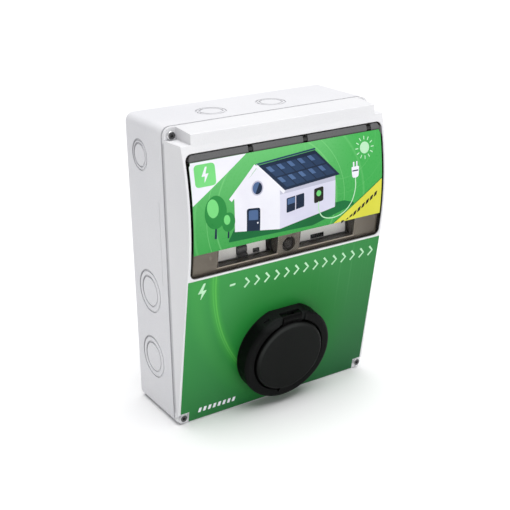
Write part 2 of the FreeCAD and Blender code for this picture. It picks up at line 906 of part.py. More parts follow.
def clip(name, dep, zc, mid, half=mod_half):
    b = body(name)
    seat = dep + rail_ht
    c = zz(zc)
    add(b, "XZ_Plane", lambda s: rect(s, mid - 6, c - half - 1.2, mid + 6, c - 16.8),
        seat - 3.6, seat - 1.2)
    add(b, "XZ_Plane", lambda s: rect(s, mid - 6, c - half - 4.2, mid + 6, c - half - 1.2),
        seat - 3.6, seat + 3)
    through(b, "XZ_Plane", lambda s: rect(s, mid - 3, c - half - 3.2, mid + 3, c - half - 2.2),
            seat - 5, seat + 5)
    node(b)


tscrews = []


def terminals(b, x0, x1, seat, c, poles, half=mod_half, shoulder=mod_shoulder, inset=7):
    step = (Q.of(x1) - Q.of(x0)) / poles
    pts = []
    for k in range(poles):
        x = Q.of(x0) + step * (k + 0.5)
        for j in (-1, 1):
            pts.append((x, c + (half - inset) * j))

    def wells(s):
        for x, z in pts:
            circle(s, x, z, 2.9)
    through(b, "XZ_Plane", wells, seat + shoulder - 5, seat + shoulder + 1)

    def mouths(s):
        for x, z in pts[::2]:
            rrect(s, x - 3.4, -(seat + shoulder - 12) - 3.2, x + 3.4, -(seat + shoulder - 12) + 3.2, 1)
    through(b, "XY_Plane", mouths, c - half - 1, c - half + 8)
    through(b, "XY_Plane", mouths, c + half - 8, c + half + 1)
    tscrews.append((pts, seat + shoulder - 5))


# four-pole residual current breaker in the left opening
b, seat, c, mid = device("rcd_body", -89.7, -19.9, rail_up_dep, rail_up_z)
terminals(b, -89.7, -19.9, seat, c, 4)
tog_z = size("tog_z", 192.6)
tog_dep = size("tog_dep", 97.4)
through(b, "XZ_Plane", lambda s: rect(s, -56.4, zz(tog_z) - 6.7, -43.6, zz(tog_z) + 6.2), 90.5, 102)
# pivot of the toggle, moulded across its slot
add(b, "YZ_Plane", lambda s: circle(s, -tog_dep, zz(tog_z), 1.24), -57, -43)
through(b, "XZ_Plane", lambda s: rect(s, -36.1, zz(185.4), -28.3, zz(190.4)), 96, 102)
through(b, "XZ_Plane", lambda s: rect(s, -79, zz(204), -29, zz(224)), 100.5, 102)
node(b)
rcd_mid = mid

b = body("rcd_toggle")
add(b, "YZ_Plane", lambda s: circle(s, -tog_dep, zz(tog_z), 5.5), -56, -44)


def handle(s):
    # lever leaning down from the drum
    a = math.radians(225)
    ux, uz = math.cos(a), math.sin(a)
    px, pz = -uz, ux
    pts = []
    for u, w in ((3.0, -1.9), (10.2, -1.3), (10.2, 1.3), (3.0, 1.9)):
        pts.append((-tog_dep + u * ux + w * px, zz(tog_z) + u * uz + w * pz))
    path(s, pts)


add(b, "YZ_Plane", handle, -55.4, -44.6)
through(b, "YZ_Plane", lambda s: circle(s, -tog_dep, zz(tog_z), 1.3), -60, -40)
node(b)

b = body("rcd_test_button")
add(b, "XZ_Plane", lambda s: rect(s, -35.7, zz(185.8), -28.7, zz(190.0)), 97.4, 102.6)
fillet(b, lambda e: abs(e.BoundBox.YMin + 102.6) < 0.01 and e.BoundBox.YLength < 0.01, 0.5)
node(b)
clip("rcd_din_clip", rail_up_dep, rail_up_z, rcd_mid)

# charge controller in the right opening
b, seat, c, mid = device("controller_body", 15.4, 84.6, rail_up_dep, rail_up_z)
through(b, "XZ_Plane", lambda s: rect(s, 37.6, zz(185.4), 55, zz(190.2)), 100, 102)
through(b, "XZ_Plane", lambda s: rect(s, 20, zz(203), 80, zz(226)), 100.5, 102)


def plug_rows(s):
    for k in range(8):
        x = 21.0 + 8.4 * k
        for j in (-1, 1):
            zc_ = c + 32.5 * j
            rect(s, x - 2.6, zc_ - 2.6, x + 2.6, zc_ + 2.6)


through(b, "XZ_Plane", plug_rows, seat + mod_shoulder - 6, seat + mod_shoulder + 1)
node(b)
b = body("controller_window")
add(b, "XZ_Plane", lambda s: rect(s, 37.6, zz(185.4), 55, zz(190.2)), 100, 101.4)
node(b)
clip("controller_din_clip", rail_up_dep, rail_up_z, mid)

# switching contactor beside the socket, on the lower rail
b, seat, c, mid = device("contactor_body", -117, -64, rail_low_dep, rail_low_z)
terminals(b, -117, -64, seat, c, 4)
lev_x = size("lev_x", -90.5)
through(b, "XZ_Plane", lambda s: rect(s, lev_x - 2.6, c - 10.2, lev_x + 2.6, c + 10.2),
        seat + mod_dep - 5, seat + mod_dep + 1)
node(b)
con_mid = mid
b = body("contactor_lever")
add(b, "XZ_Plane", lambda s: rect(s, lev_x - 2.2, c - 3.2, lev_x + 2.2, c + 3.2),
    seat + mod_dep - 4, seat + mod_dep + 0.4)
add(b, "XZ_Plane", lambda s: rect(s, lev_x - 2.0, c - 1.6, lev_x + 2.0, c + 1.6),
    seat + mod_dep + 0.4, seat + mod_dep + 3.4)
node(b)
clip("contactor_din_clip", rail_low_dep, rail_low_z, con_mid)

# five-way supply terminal block at the other side of the socket
ter_half = size("ter_half", 25)
b, seat, c, mid = device("supply_terminals", 65, 115, rail_low_dep, rail_low_z,
                         face=44, half=ter_half, fhalf=12, shoulder=34)
terminals(b, 65, 115, seat, c, 5, half=ter_half, shoulder=34, inset=6)


def partitions(s):
    for k in range(1, 5):
        rect(s, 64.6 + 10 * k, c - ter_half - 2, 65.4 + 10 * k, c + ter_half + 2)


through(b, "XZ_Plane", partitions, seat + 32, seat + 50)
node(b)
clip("terminal_din_clip", rail_low_dep, rail_low_z, mid, half=ter_half)

b = body("terminal_screws")
for pts, dep0 in tscrews:
    def heads_t(s, pts=pts):
        for x, z in pts:
            circle(s, x, z, 2.5)

    def slots_t(s, pts=pts):
        for x, z in pts:
            rect(s, x - 2.0, z - 0.4, x + 2.0, z + 0.4)
    add(b, "XZ_Plane", heads_t, dep0, dep0 + 2.6)
    through(b, "XZ_Plane", slots_t, dep0 + 1.6, dep0 + 4)
node(b)

# ---------------------------------------------------------- socket outlet ---
b = body("socket_gasket")


def gask(s):
    dshape(s, 54.6, bez_flat - 0.4)
    circle(s, 0, 0, 38.5)
    for x, y in fix_pts():
        circle(s, x, y, 2.4)


add(b, "XY_Plane", gask, 0, gask_th)
node(on_face(b))

b = body("socket_bezel")
add(b, "XY_Plane", lambda s: dshape(s, bez_rad, bez_flat), gask_th, bez_ht)
fillet(b, lambda e: abs(e.BoundBox.ZMin - bez_ht.v) < 0.01 and e.BoundBox.ZLength < 0.01, 4)
add(b, "XY_Plane", lambda s: circle(s, 0, 0, tube_rad), -tube_dep, gask_th + 1)


def lock_block(s):
    rect(s, -17, 24, 17, 33)


add(b, "XY_Plane", lock_block, -27, -6)
through(b, "XY_Plane", lambda s: circle(s, 0, 0, lid_seat), seat_ht, bez_ht + 2)
fillet(b, lambda e: abs(e.BoundBox.ZMin - bez_ht.v) < 0.01 and e.BoundBox.ZLength < 0.01
       and 80 < e.BoundBox.XLength < 92, 0.8)
through(b, "XY_Plane", lambda s: dshape(s, well_rad, well_flat), -tube_dep - 1, bez_ht)


def lightening(s):
    # hollow ring behind the front, closed round the hinge, with four screw bosses
    def pt(r, deg):
        return (r * math.cos(math.radians(deg)), r * math.sin(math.radians(deg)))
    o1, o2, i1, i2 = pt(52.2, 62), pt(52.2, 118), pt(36, 118), pt(36, 62)
    path(s, [(o2[0], o2[1], 52.2, 1, True), (o1[0], o1[1]), (i2[0], i2[1], 36, -1, True), (i1[0], i1[1])])
    for x, y in fix_pts():
        circle(s, x, y, 4.6)


through(b, "XY_Plane", lightening, gask_th - 1, 10)
through(b, "XY_Plane", lambda s: rect(s, -12.6, 40.9, 12.6, 60), 8.6, 22)
# the crest is lower beside the hinge, where the lid's rim swings by
through(b, "XY_Plane", lambda s: rect(s, -16.5, 38, 16.5, 60), 17.5, 22)
through(b, "YZ_Plane", lambda s: circle(s, lid_axis_v, lid_axis_ht, pin_rad), -19.6, 19.6)


def bez_threads(s):
    for x, y in fix_pts():
        circle(s, x, y, 2.0)


through(b, "XY_Plane", bez_threads, gask_th - 1, 11.5)


def side_slot(s):
    # small drain slot in the outer wall, beside the hinge
    def pt(r, deg):
        return (r * math.cos(math.radians(deg)), r * math.sin(math.radians(deg)))
    path(s, [pt(53.3, 117.5), pt(58, 117.5), pt(58, 124.5), pt(53.3, 124.5)])


through(b, "XY_Plane", side_slot, 8.8, 12.4)
lock_ht = size("lock_ht", -16.5)
# bore of the locking pin into the top of the well, along the local Y
through(b, "XZ_Plane", lambda s: circle(s, 0, lock_ht, 2.9), -36, -18)


def act_threads(s):
    for i in (-1, 1):
        circle(s, 15 * i, lock_ht, 1.25)


through(b, "XZ_Plane", act_threads, -36, -27)
node(on_face(b))

power = [(0, 0), (-16.2, 0.0), (16.2, 0.0), (-8.1, -14.0), (8.1, -14.0)]
signal = [(-8.0, 11.4), (8.0, 11.4)]


def pts_circles(pts, r):
    def f(s):
        for x, y in pts:
            circle(s, x, y, r)
    return f


# the contact holder is made in two halves: a rear plate that fills the well and
# a front block that stands free in it
b = body("contact_carrier")
add(b, "XY_Plane", lambda s: dshape(s, well_rad - 0.1, well_flat - 0.1), -tube_dep, -tube_dep + carrier_th)
through(b, "XY_Plane", pts_circles(power, 4.3), -tube_dep - 1, 0)
through(b, "XY_Plane", pts_circles(signal, 2.6), -tube_dep - 1, 0)
node(on_face(b))

b = body("contact_block")
add(b, "XY_Plane", lambda s: dshape(s, isl_rad, isl_flat), -tube_dep + carrier_th, isl_ht)
through(b, "XY_Plane", pts_circles(power, 3.4), -tube_dep - 1, isl_ht + 1)
through(b, "XY_Plane", pts_circles(power, 4.3), -tube_dep - 1, isl_ht - 4)
through(b, "XY_Plane", pts_circles(signal, 1.9), -tube_dep - 1, isl_ht + 1)
through(b, "XY_Plane", pts_circles(signal, 2.6), -tube_dep - 1, isl_ht - 4)
fillet(b, lambda e: abs(e.BoundBox.ZMin - isl_ht.v) < 0.01 and e.BoundBox.ZLength < 0.01, 0.6)
node(on_face(b))

b = body("power_contacts")
add(b, "XY_Plane", pts_circles(power, 4.25), -tube_dep - 7, isl_ht - 4.2)
through(b, "XY_Plane", pts_circles(power, 3.05), -26, isl_ht)
through(b, "XZ_Plane", lambda s: [circle(s, x, -tube_dep - 4, 1.2) for x, y in power[:1]] and
        [circle(s, x, -tube_dep - 4, 1.2) for x in (-16.2, 16.2, -8.1, 8.1)], -20, 25)
node(on_face(b))
b = body("signal_contacts")
add(b, "XY_Plane", pts_circles(signal, 2.55), -tube_dep - 6, isl_ht - 4.2)
through(b, "XY_Plane", pts_circles(signal, 1.6), -24, isl_ht)
node(on_face(b))

b = body("socket_rear_cap")
add(b, "XY_Plane", lambda s: circle(s, 0, 0, tube_rad), -tube_dep - 18, -tube_dep)
through(b, "XY_Plane", lambda s: circle(s, 0, 0, 30.8), -tube_dep - 16, -tube_dep + 1)
add(b, "XY_Plane", pts_circles([(-24.5, 17.0), (24.5, 17.0)], 3.2), -tube_dep - 17, -tube_dep)
through(b, "XZ_Plane", lambda s: rrect(s, -12, -tube_dep - 13, 12, -tube_dep - 3, 3), 20, 40)
node(on_face(b))

b = body("socket_lid")
add(b, "XY_Plane", lambda s: circle(s, 0, 0, lid_rad), lid_low, lid_high)
fillet(b, lambda e: abs(e.BoundBox.ZMin - lid_high.v) < 0.01 and e.BoundBox.ZLength < 0.01, 3.6)
fillet(b, lambda e: abs(e.BoundBox.ZMin - lid_low.v) < 0.01 and e.BoundBox.ZLength < 0.01, 0.6)
# finger tab at the bottom
add(b, "XY_Plane", lambda s: path(s, [(-8, -40), (-10, -45.0), (-7.5, -47.0), (7.5, -47.0), (10, -45.0), (8, -40)]),
    19.2, 21.4)
# arm and hinge barrel
add(b, "XY_Plane", lambda s: rect(s, -12, 38, 12, lid_axis_v), lid_low + 0.2, 18.2)
add(b, "YZ_Plane", lambda s: circle(s, lid_axis_v, lid_axis_ht, barrel_rad), -12, 12)
# hidden pocket for the spring, open to the rear
through(b, "YZ_Plane", lambda s: circle(s, lid_axis_v, lid_axis_ht, 2.9), -4.4, 4.4)
through(b, "XY_Plane", lambda s: rect(s, -4.4, 37.2, 4.4, lid_axis_v), 4, lid_axis_ht + 2.9)
through(b, "XY_Plane", lambda s: rect(s, -4.4, lid_axis_v - 1, 4.4, 60), 4, lid_axis_ht + 1.2)
through(b, "YZ_Plane", lambda s: circle(s, lid_axis_v, lid_axis_ht, pin_rad + run_gap), -14, 14)
through(b, "XY_Plane", lambda s: circle(s, 0, 0, 29), lid_low - 1, 19)


def seal_groove(s):
    circle(s, 0, 0, 34)
    circle(s, 0, 0, 30.6)


through(b, "XY_Plane", seal_groove, lid_low - 1, 15)
node(on_face(b))

b = body("lid_seal")


def seal_ring(s):
    circle(s, 0, 0, 34)
    circle(s, 0, 0, 30.6)


add(b, "XY_Plane", seal_ring, seat_ht + 0.05, 15)
node(on_face(b))

b = body("lid_hinge_pin")
add(b, "YZ_Plane", lambda s: circle(s, lid_axis_v, lid_axis_ht, pin_rad), -19.4, 19.4)
node(on_face(b))

# torsion spring round the pin: coil and two straight legs
coil_r = size("coil_r", 2.1)
wire_r = size("wire_r", 0.35)
coil_half = size("coil_half", 3.3)
coil_turns = size("coil_turns", 5)
leg_up = size("leg_up", 8.4)
leg_down = size("leg_down", 4.8)


def make_spring():
    g = lambda n: float(sheet.get(n))
    r, w, hw, turns = g("coil_r"), g("wire_r"), g("coil_half"), g("coil_turns")
    av, ah = g("lid_axis_v"), g("lid_axis_ht")
    leg_up, leg_down = g("leg_up"), g("leg_down")
    # one wire: upper leg, coil, lower leg
    pts = [V(-hw, av - leg_up + leg_up * k / 7.0, ah + r) for k in range(7)]
    total = 2 * math.pi * turns + math.pi
    n = int(14 * turns) + 8
    for i in range(n + 1):
        f = i / n
        a = math.pi / 2 - total * f
        pts.append(V(-hw + 2 * hw * f, av + r * math.cos(a), ah + r * math.sin(a)))
    pts += [V(hw, av - leg_down * k / 4.0, ah - r) for k in range(1, 5)]
    sp = Part.BSplineCurve()
    sp.interpolate(pts)
    line = Part.Wire([sp.toShape()])
    prof = Part.Wire([Part.makeCircle(w, pts[0], sp.tangent(sp.FirstParameter)[0])])
    return line.makePipeShell([prof], True, False)


spring = doc.addObject("Part::Feature", "lid_spring")
spring.Label = "lid_spring"
doc.recompute()
spring.Shape = make_spring()
node(on_face(spring))

b = body("socket_screws")


def sscrew(r):
    def f(s):
        for x, y in fix_pts():
            circle(s, x, y, r)
    return f


add(b, "XY_Plane", sscrew(1.95), -cover_wall, 10.8)
add(b, "XY_Plane", sscrew(3.8), -cover_wall - 2.8, -cover_wall)


def cross(s):
    for x, y in fix_pts():
        rect(s, x - 2.2, y - 0.5, x + 2.2, y + 0.5)


through(b, "XY_Plane", cross, -cover_wall - 4, -cover_wall - 1.6)
node(on_face(b))

# lock of the plug: a small actuator on top of the well and its pin
b = body("lock_actuator")
add(b, "XY_Plane", lambda s: rrect(s, -13, 33, 13, 60, 2), -27, -6)
add(b, "XY_Plane", lambda s: rect(s, -17, 33, 17, 35.4), -21, -12)
through(b, "XZ_Plane", lambda s: circle(s, 0, lock_ht, 2.9), -47, -32)
through(b, "XZ_Plane", act_threads, -37, -32)
through(b, "XY_Plane", lambda s: rrect(s, -7, 50, 7, 57, 1), -28, -25)
node(on_face(b))

b = body("lock_pin")
add(b, "XZ_Plane", lambda s: circle(s, 0, lock_ht, 2.5), -40.5, -24)
fillet(b, lambda e: abs(e.BoundBox.YMin - 24) < 0.01 and e.BoundBox.YLength < 0.01, 0.8)
node(on_face(b))

b = body("actuator_screws")


def act_sh(r):
    def f(s):
        for i in (-1, 1):
            circle(s, 15 * i, lock_ht, r)
    return f


add(b, "XZ_Plane", act_sh(1.2), -35.4, -28)
add(b, "XZ_Plane", act_sh(1.85), -37.2, -35.4)
node(on_face(b))

# ----------------------------------------------------------------- output ---
doc.recompute()
for o in doc.Objects:
    if "Invalid" in o.State or "Error" in o.State:
        raise RuntimeError("%s is %s" % (o.Name, o.State))
os.makedirs("parts", exist_ok=True)
for o in nodes:
    sh = o.Shape
    if sh.isNull() or not sh.isValid():
        raise RuntimeError("bad shape: " + o.Label)
    sh.exportStep("parts/%s.step" % o.Label)
    print("%-22s solids %2d  volume %10.1f  box %s" % (
        o.Label, len(sh.Solids), sh.Volume,
        " ".join("%.1f" % a for a in (sh.BoundBox.XMin, sh.BoundBox.XMax, sh.BoundBox.YMin,
                                      sh.BoundBox.YMax, sh.BoundBox.ZMin, sh.BoundBox.ZMax))))
print(len(nodes), "parts")
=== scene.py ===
import json
import math
import random

import bmesh
import bpy
from mathutils import Matrix, Vector
from mathutils.geometry import tessellate_polygon


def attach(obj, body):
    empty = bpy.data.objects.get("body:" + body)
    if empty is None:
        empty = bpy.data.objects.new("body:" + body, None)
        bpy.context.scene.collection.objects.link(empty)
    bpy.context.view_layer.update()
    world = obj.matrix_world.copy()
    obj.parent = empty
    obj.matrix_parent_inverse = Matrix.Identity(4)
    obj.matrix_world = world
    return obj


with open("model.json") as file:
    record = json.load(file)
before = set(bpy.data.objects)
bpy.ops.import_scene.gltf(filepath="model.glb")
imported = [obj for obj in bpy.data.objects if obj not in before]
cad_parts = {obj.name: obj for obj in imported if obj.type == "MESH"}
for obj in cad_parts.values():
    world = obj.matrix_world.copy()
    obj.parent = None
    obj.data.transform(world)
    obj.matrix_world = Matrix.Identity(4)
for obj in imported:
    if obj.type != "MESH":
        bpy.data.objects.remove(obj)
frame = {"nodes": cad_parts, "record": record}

random.seed(7)
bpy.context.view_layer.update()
scene = bpy.context.scene
NODES = frame["nodes"]
MM = 0.001

# --- shape of the front, in millimetres, heights above the underside ---------
HALF_H = 163.5
ARC_Y, ARC_Z, ARC_R = 175.867653721167, 239.0068537287645, 298.0
LEAN = math.radians(10.0)
FACE = 84.4
SOCK_Z = 65.6


def arch(zb, off=0.0):
    r = ARC_R - off
    return ARC_Y - math.sqrt(r * r - (zb - ARC_Z) ** 2)


def lean(zb, out=0.0):
    return -(FACE + math.tan(LEAN) * zb) - out / math.cos(LEAN)


def sock(x, v, h):
    """Point of the socket's own frame (right, up the slope, outwards) in metres."""
    y = lean(SOCK_Z) - v * math.sin(LEAN) - h * math.cos(LEAN)
    z = SOCK_Z - HALF_H + v * math.cos(LEAN) - h * math.sin(LEAN)
    return Vector((x, y, z)) * MM


def srgb(r, g, b):
    def f(c):
        c /= 255.0
        return c / 12.92 if c <= 0.04045 else ((c + 0.055) / 1.055) ** 2.4
    return (f(r), f(g), f(b), 1.0)


# ------------------------------------------------------ material helpers ----
class Mat:
    """Small helper that builds a node material and its arithmetic."""

    def __init__(self, name):
        self.m = bpy.data.materials.new(name)
        self.m.use_nodes = True
        self.t = self.m.node_tree
        self.t.nodes.clear()
        self.out = self.t.nodes.new("ShaderNodeOutputMaterial")
        self.tc = self.t.nodes.new("ShaderNodeTexCoord")
        self.geo = self.t.nodes.new("ShaderNodeNewGeometry")
        self._xyz = None

    def new(self, kind, **kw):
        n = self.t.nodes.new(kind)
        for k, v in kw.items():
            setattr(n, k, v)
        return n

    def link(self, a, b):
        self.t.links.new(a, b)

    def put(self, sock_, v):
        if isinstance(v, F):
            v = v.s
        if isinstance(v, bpy.types.NodeSocket):
            self.link(v, sock_)
        else:
            sock_.default_value = v

    @property
    def obj(self):
        return self.tc.outputs["Object"]

    def xyz(self):
        if self._xyz is None:
            n = self.new("ShaderNodeSeparateXYZ")
            self.link(self.obj, n.inputs[0])
            self._xyz = [F(self, n.outputs[i]) * 1000.0 for i in range(3)]
        return self._xyz

    def math(self, op, a, b=None, clamp=False):
        n = self.new("ShaderNodeMath", operation=op, use_clamp=clamp)
        self.put(n.inputs[0], a)
        if b is not None:
            self.put(n.inputs[1], b)
        return F(self, n.outputs[0])

    def noise(self, scale, detail=3.0, rough=0.55, vec=None, dist=0.0):
        n = self.new("ShaderNodeTexNoise")
        self.put(n.inputs["Vector"], vec if vec is not None else self.obj)
        n.inputs["Scale"].default_value = scale
        n.inputs["Detail"].default_value = detail
        n.inputs["Roughness"].default_value = rough
        n.inputs["Distortion"].default_value = dist
        return F(self, n.outputs["Fac"])

    def voronoi(self, scale, feature="F1", vec=None):
        n = self.new("ShaderNodeTexVoronoi", feature=feature)
        self.put(n.inputs["Vector"], vec if vec is not None else self.obj)
        n.inputs["Scale"].default_value = scale
        return F(self, n.outputs["Distance"])

    def stretched(self, sx, sy, sz):
        n = self.new("ShaderNodeMapping")
        self.link(self.obj, n.inputs["Vector"])
        n.inputs["Scale"].default_value = (sx, sy, sz)
        return n.outputs["Vector"]

    def ramp(self, v, lo, hi, a=0.0, b=1.0, smooth=True):
        n = self.new("ShaderNodeMapRange")
        if smooth:
            n.interpolation_type = "SMOOTHSTEP"
        self.put(n.inputs["Value"], v)
        n.inputs["From Min"].default_value = lo
        n.inputs["From Max"].default_value = hi
        n.inputs["To Min"].default_value = a
        n.inputs["To Max"].default_value = b
        return F(self, n.outputs["Result"])

    def mix(self, fac, a, b, blend="MIX"):
        n = self.new("ShaderNodeMix", data_type="RGBA", blend_type=blend)
        self.put(n.inputs[0], fac)
        self.put(n.inputs[6], a)
        self.put(n.inputs[7], b)
        return n.outputs[2]

    def bevel(self, mm, samples=6):
        n = self.new("ShaderNodeBevel", samples=samples)
        n.inputs["Radius"].default_value = mm * MM
        return n.outputs["Normal"]

    def wear(self, normal, lo=0.01, hi=0.25):
        """1 on edges, where the rounded normal leaves the face's own."""
        d = self.new("ShaderNodeVectorMath", operation="DOT_PRODUCT")
        self.link(normal, d.inputs[0])
        self.link(self.geo.outputs["Normal"], d.inputs[1])
        return self.ramp(1.0 - F(self, d.outputs["Value"]), lo, hi)

    def bump(self, height, strength, dist_mm, normal=None):
        n = self.new("ShaderNodeBump")
        n.inputs["Strength"].default_value = strength
        n.inputs["Distance"].default_value = dist_mm * MM
        self.put(n.inputs["Height"], height)
        if normal is not None:
            self.put(n.inputs["Normal"], normal)
        return n.outputs["Normal"]

    def principled(self, color, rough, normal=None, **kw):
        n = self.new("ShaderNodeBsdfPrincipled")
        self.put(n.inputs["Base Color"], color)
        self.put(n.inputs["Roughness"], rough)
        if normal is not None:
            self.put(n.inputs["Normal"], normal)
        for k, v in kw.items():
            self.put(n.inputs[k.replace("_", " ")], v)
        return n

    def surface(self, shader):
        self.link(shader.outputs[0], self.out.inputs["Surface"])
        return self.m


class F:
    def __init__(self, g, s):
        self.g, self.s = g, s

    def __add__(self, o):
        return self.g.math("ADD", self, o)

    __radd__ = __add__

    def __sub__(self, o):
        return self.g.math("SUBTRACT", self, o)

    def __rsub__(self, o):
        return self.g.math("SUBTRACT", o, self)

    def __mul__(self, o):
        return self.g.math("MULTIPLY", self, o)

    __rmul__ = __mul__

    def __truediv__(self, o):
        return self.g.math("DIVIDE", self, o)

    def clamp(self):
        return self.g.math("ADD", self, 0.0, clamp=True)

    def abs(self):
        return self.g.math("ABSOLUTE", self)

    def sqrt(self):
        return self.g.math("SQRT", self)

    def min(self, o):
        return self.g.math("MINIMUM", self, o)

    def max(self, o):
        return self.g.math("MAXIMUM", self, o)

    def pow(self, o):
        return self.g.math("POWER", self, o)


def ring(g, x, z, cx, cz, r):
    dx, dz = x - cx, z - cz
    return (dx * dx + dz * dz).sqrt() - r


# the knockout grooves: which two axes they lie in, their middle and radius
SIDE_RINGS = ((-37.0, -22.5, 17.2), (-37.0, -22.5, 23.6), (-37.5, -99.7, 17.2), (-37.5, -99.7, 23.6),
              (-29.8, 125.2, 12.75), (-29.8, 125.2, 16.25))
TOP_RINGS = ((-49.5, -46.0, 12.75), (-49.5, -46.0, 16.25), (24.0, -46.0, 12.75), (24.0, -46.0, 16.25))


def groove_shade(g, c):
    """A little shade held in the knockout grooves, more on their upper back side."""
    x, y, z = g.xyz()
    on_side = g.ramp(x.abs(), 117.0, 119.0)
    for a, b, rr in SIDE_RINGS:
        d = ring(g, y, z, a, b, rr).abs()
        w = g.ramp((y - a) * 0.8 + (z - b) * 0.5, -0.5 * rr, 0.95 * rr, 0.10, 0.62)
        c = g.mix(g.ramp(d, 0.25, 1.25, 1.0, 0.0) * w * on_side, c, srgb(118, 118, 124))
    on_top = g.ramp(z, 157.0, 159.0)
    for a, b, rr in TOP_RINGS:
        d = ring(g, x, y, a, b, rr).abs()
        w = g.ramp((y - b) * 0.8 - (x - a) * 0.2, -0.5 * rr, 0.95 * rr, 0.05, 0.30)
        c = g.mix(g.ramp(d, 0.2, 0.9, 1.0, 0.0) * w * on_top, c, srgb(140, 140, 144))
    return c


def face_polar(g):
    """Distance from the socket's axis, and height along the leaning face."""
    x, y, z = g.xyz()
    y0, z0 = lean(SOCK_Z), SOCK_Z - HALF_H
    v = (z - z0) * math.cos(LEAN) - (y - y0) * math.sin(LEAN)
    return x, v, (x * x + v * v).sqrt()


def bezel_painted_shade_and_highlight(g, c):
    """Painted shade in the lid seat, and a painted highlight on the top of the hinge side."""
    x, v, rr = face_polar(g)
    # painted shade darkens the lid seat
    c = g.mix(g.ramp(rr, 43.0, 45.0, 1.0, 0.0), c, srgb(4, 4, 4))
    # painted highlight along the top of the hinge side
    top = g.ramp(v, 37.0, 44.0) * g.ramp(x, -44.0, -30.0) * g.ramp(x, 12.0, 22.0, 1.0, 0.0)
    return g.mix(top * 0.6, c, srgb(32, 35, 34))


def lid_rim_painted_light(g, c):
    """Painted highlight along the upper left of the lid's turned-over rim, and painted shade on its outer edge."""
    x, y, z = g.xyz()
    y0, z0 = lean(SOCK_Z), SOCK_Z - HALF_H
    v = (z - z0) * math.cos(LEAN) - (y - y0) * math.sin(LEAN)
    rr = (x * x + v * v).sqrt()
    # painted highlight band along the upper left of the rim
    band = g.ramp(rr, 37.0, 40.2) * g.ramp(rr, 41.2, 42.3, 1.0, 0.0)
    w = g.ramp(v * 0.86 - x * 0.5, 12.0, 40.0)
    c = g.mix(band * w * 0.7, c, srgb(52, 54, 53))
    # painted shade on the rim's outer edge
    return g.mix(g.ramp(rr, 42.0, 42.5), c, srgb(4, 4, 4))


def moulded(name, col, col2, rough, grain=1500.0, depth=0.05, edge=0.5, worn=None, worn_amt=0.5,
            dirt=None, spec=0.5, sss=0.0, coat=0.0, streak=0.0, extra=None):
    """Injection moulded plastic: spark-eroded grain, slow colour drift, faint
    flow marks, rounded and slightly rubbed edges."""
    g = Mat(name)
    nb = g.bevel(edge)
    cloud = g.noise(9.0, 4.0, 0.5)
    flow = g.noise(1.0, 3.0, 0.6, vec=g.stretched(60.0, 60.0, 14.0))
    fine = g.noise(grain, 2.0, 0.6)
    pits = g.voronoi(grain * 0.62)
    c = g.mix(g.ramp(cloud, 0.3, 0.7), col, col2)
    c = g.mix(g.ramp(fine, 0.25, 0.75, 0.0, 0.06), c, (0.0, 0.0, 0.0, 1.0))
    if streak:
        c = g.mix(g.ramp(flow, 0.45, 0.8, 0.0, streak), c, (1.0, 1.0, 1.0, 1.0))
    if dirt:
        c = g.mix(g.ramp(g.noise(35.0, 6.0, 0.65), 0.56, 0.8, 0.0, dirt[1]), c, dirt[0])
    if worn:
        rub = g.wear(nb) * g.ramp(g.noise(240.0, 3.0, 0.6), 0.3, 0.62)
        c = g.mix(rub * worn_amt, c, worn)
    if extra:
        c = extra(g, c)
    r = g.ramp(fine * 0.6 + flow * 0.4, 0.2, 0.8, rough - 0.06, rough + 0.07)
    h = fine * 0.65 + pits * 0.5
    n = g.bump(h, 1.0, depth, nb)
    kw = {"Specular_IOR_Level": spec}
    if sss:
        kw["Subsurface_Weight"] = sss
        kw["Subsurface_Radius"] = (0.0012, 0.0011, 0.001)
    if coat:
        kw["Coat_Weight"] = coat
        kw["Coat_Roughness"] = 0.12
    return g.surface(g.principled(c, r, n, **kw))


def screw_rim(g, c):
    x, y, z = g.xyz()
    rr = ring(g, x.abs(), z.abs(), 117.5, 155.6, 0.0)
    return g.mix(g.ramp(rr, 3.65, 3.95), c, (0.74, 0.74, 0.75, 1.0))


def metal(name, col, rough, brushed=(400.0, 400.0, 8.0), worn=None, edge=0.25, spots=0.0, extra=None):
    g = Mat(name)
    nb = g.bevel(edge, 4)
    lines = g.noise(1.0, 3.0, 0.6, vec=g.stretched(*brushed))
    cloud = g.noise(60.0, 4.0, 0.6)
    c = g.mix(g.ramp(cloud, 0.3, 0.75), col, tuple(k * 0.78 for k in col[:3]) + (1.0,))
    if spots:
        c = g.mix(g.ramp(g.noise(700.0, 3.0), 0.6, 0.75, 0.0, spots), c, (0.9, 0.9, 0.86, 1.0))
    if worn:
        c = g.mix(g.wear(nb) * 0.7, c, worn)
    if extra:
        c = extra(g, c)
    r = g.ramp(lines * 0.5 + cloud * 0.5, 0.3, 0.7, rough - 0.07, rough + 0.1)
    return g.surface(g.principled(c, r, g.bump(lines, 0.5, 0.02, nb), Metallic=1.0))


# --------------------------------------------------------- the materials ----
MATS = {}
MATS["base_plastic"] = moulded("base_plastic", srgb(229, 229, 232), srgb(224, 224, 228), 0.5, 1300, 0.04,
                               edge=0.7, worn=srgb(240, 240, 241), worn_amt=0.3, streak=0.03, extra=groove_shade)
MATS["screw_steel"] = metal("screw_steel", (0.12, 0.12, 0.125, 1.0), 0.34, (300.0, 300.0, 60.0), worn=(0.6, 0.6, 0.6, 1.0), edge=0.3, extra=screw_rim)
MATS["gasket_rubber"] = moulded("gasket_rubber", srgb(150, 151, 154), srgb(138, 139, 143), 0.85, 900, 0.12, edge=0.3, spec=0.2)
MATS["socket_rubber"] = moulded("socket_rubber", srgb(26, 27, 27), srgb(20, 21, 21), 0.85, 900, 0.10, edge=0.3, spec=0.15)
MATS["seal_rubber"] = moulded("seal_rubber", srgb(48, 48, 50), srgb(38, 38, 40), 0.75, 900, 0.08, edge=0.4, spec=0.2)
MATS["zinc_steel"] = metal("zinc_steel", (0.62, 0.63, 0.62, 1.0), 0.36, (9.0, 500.0, 500.0), worn=(0.8, 0.8, 0.78, 1.0), spots=0.35)
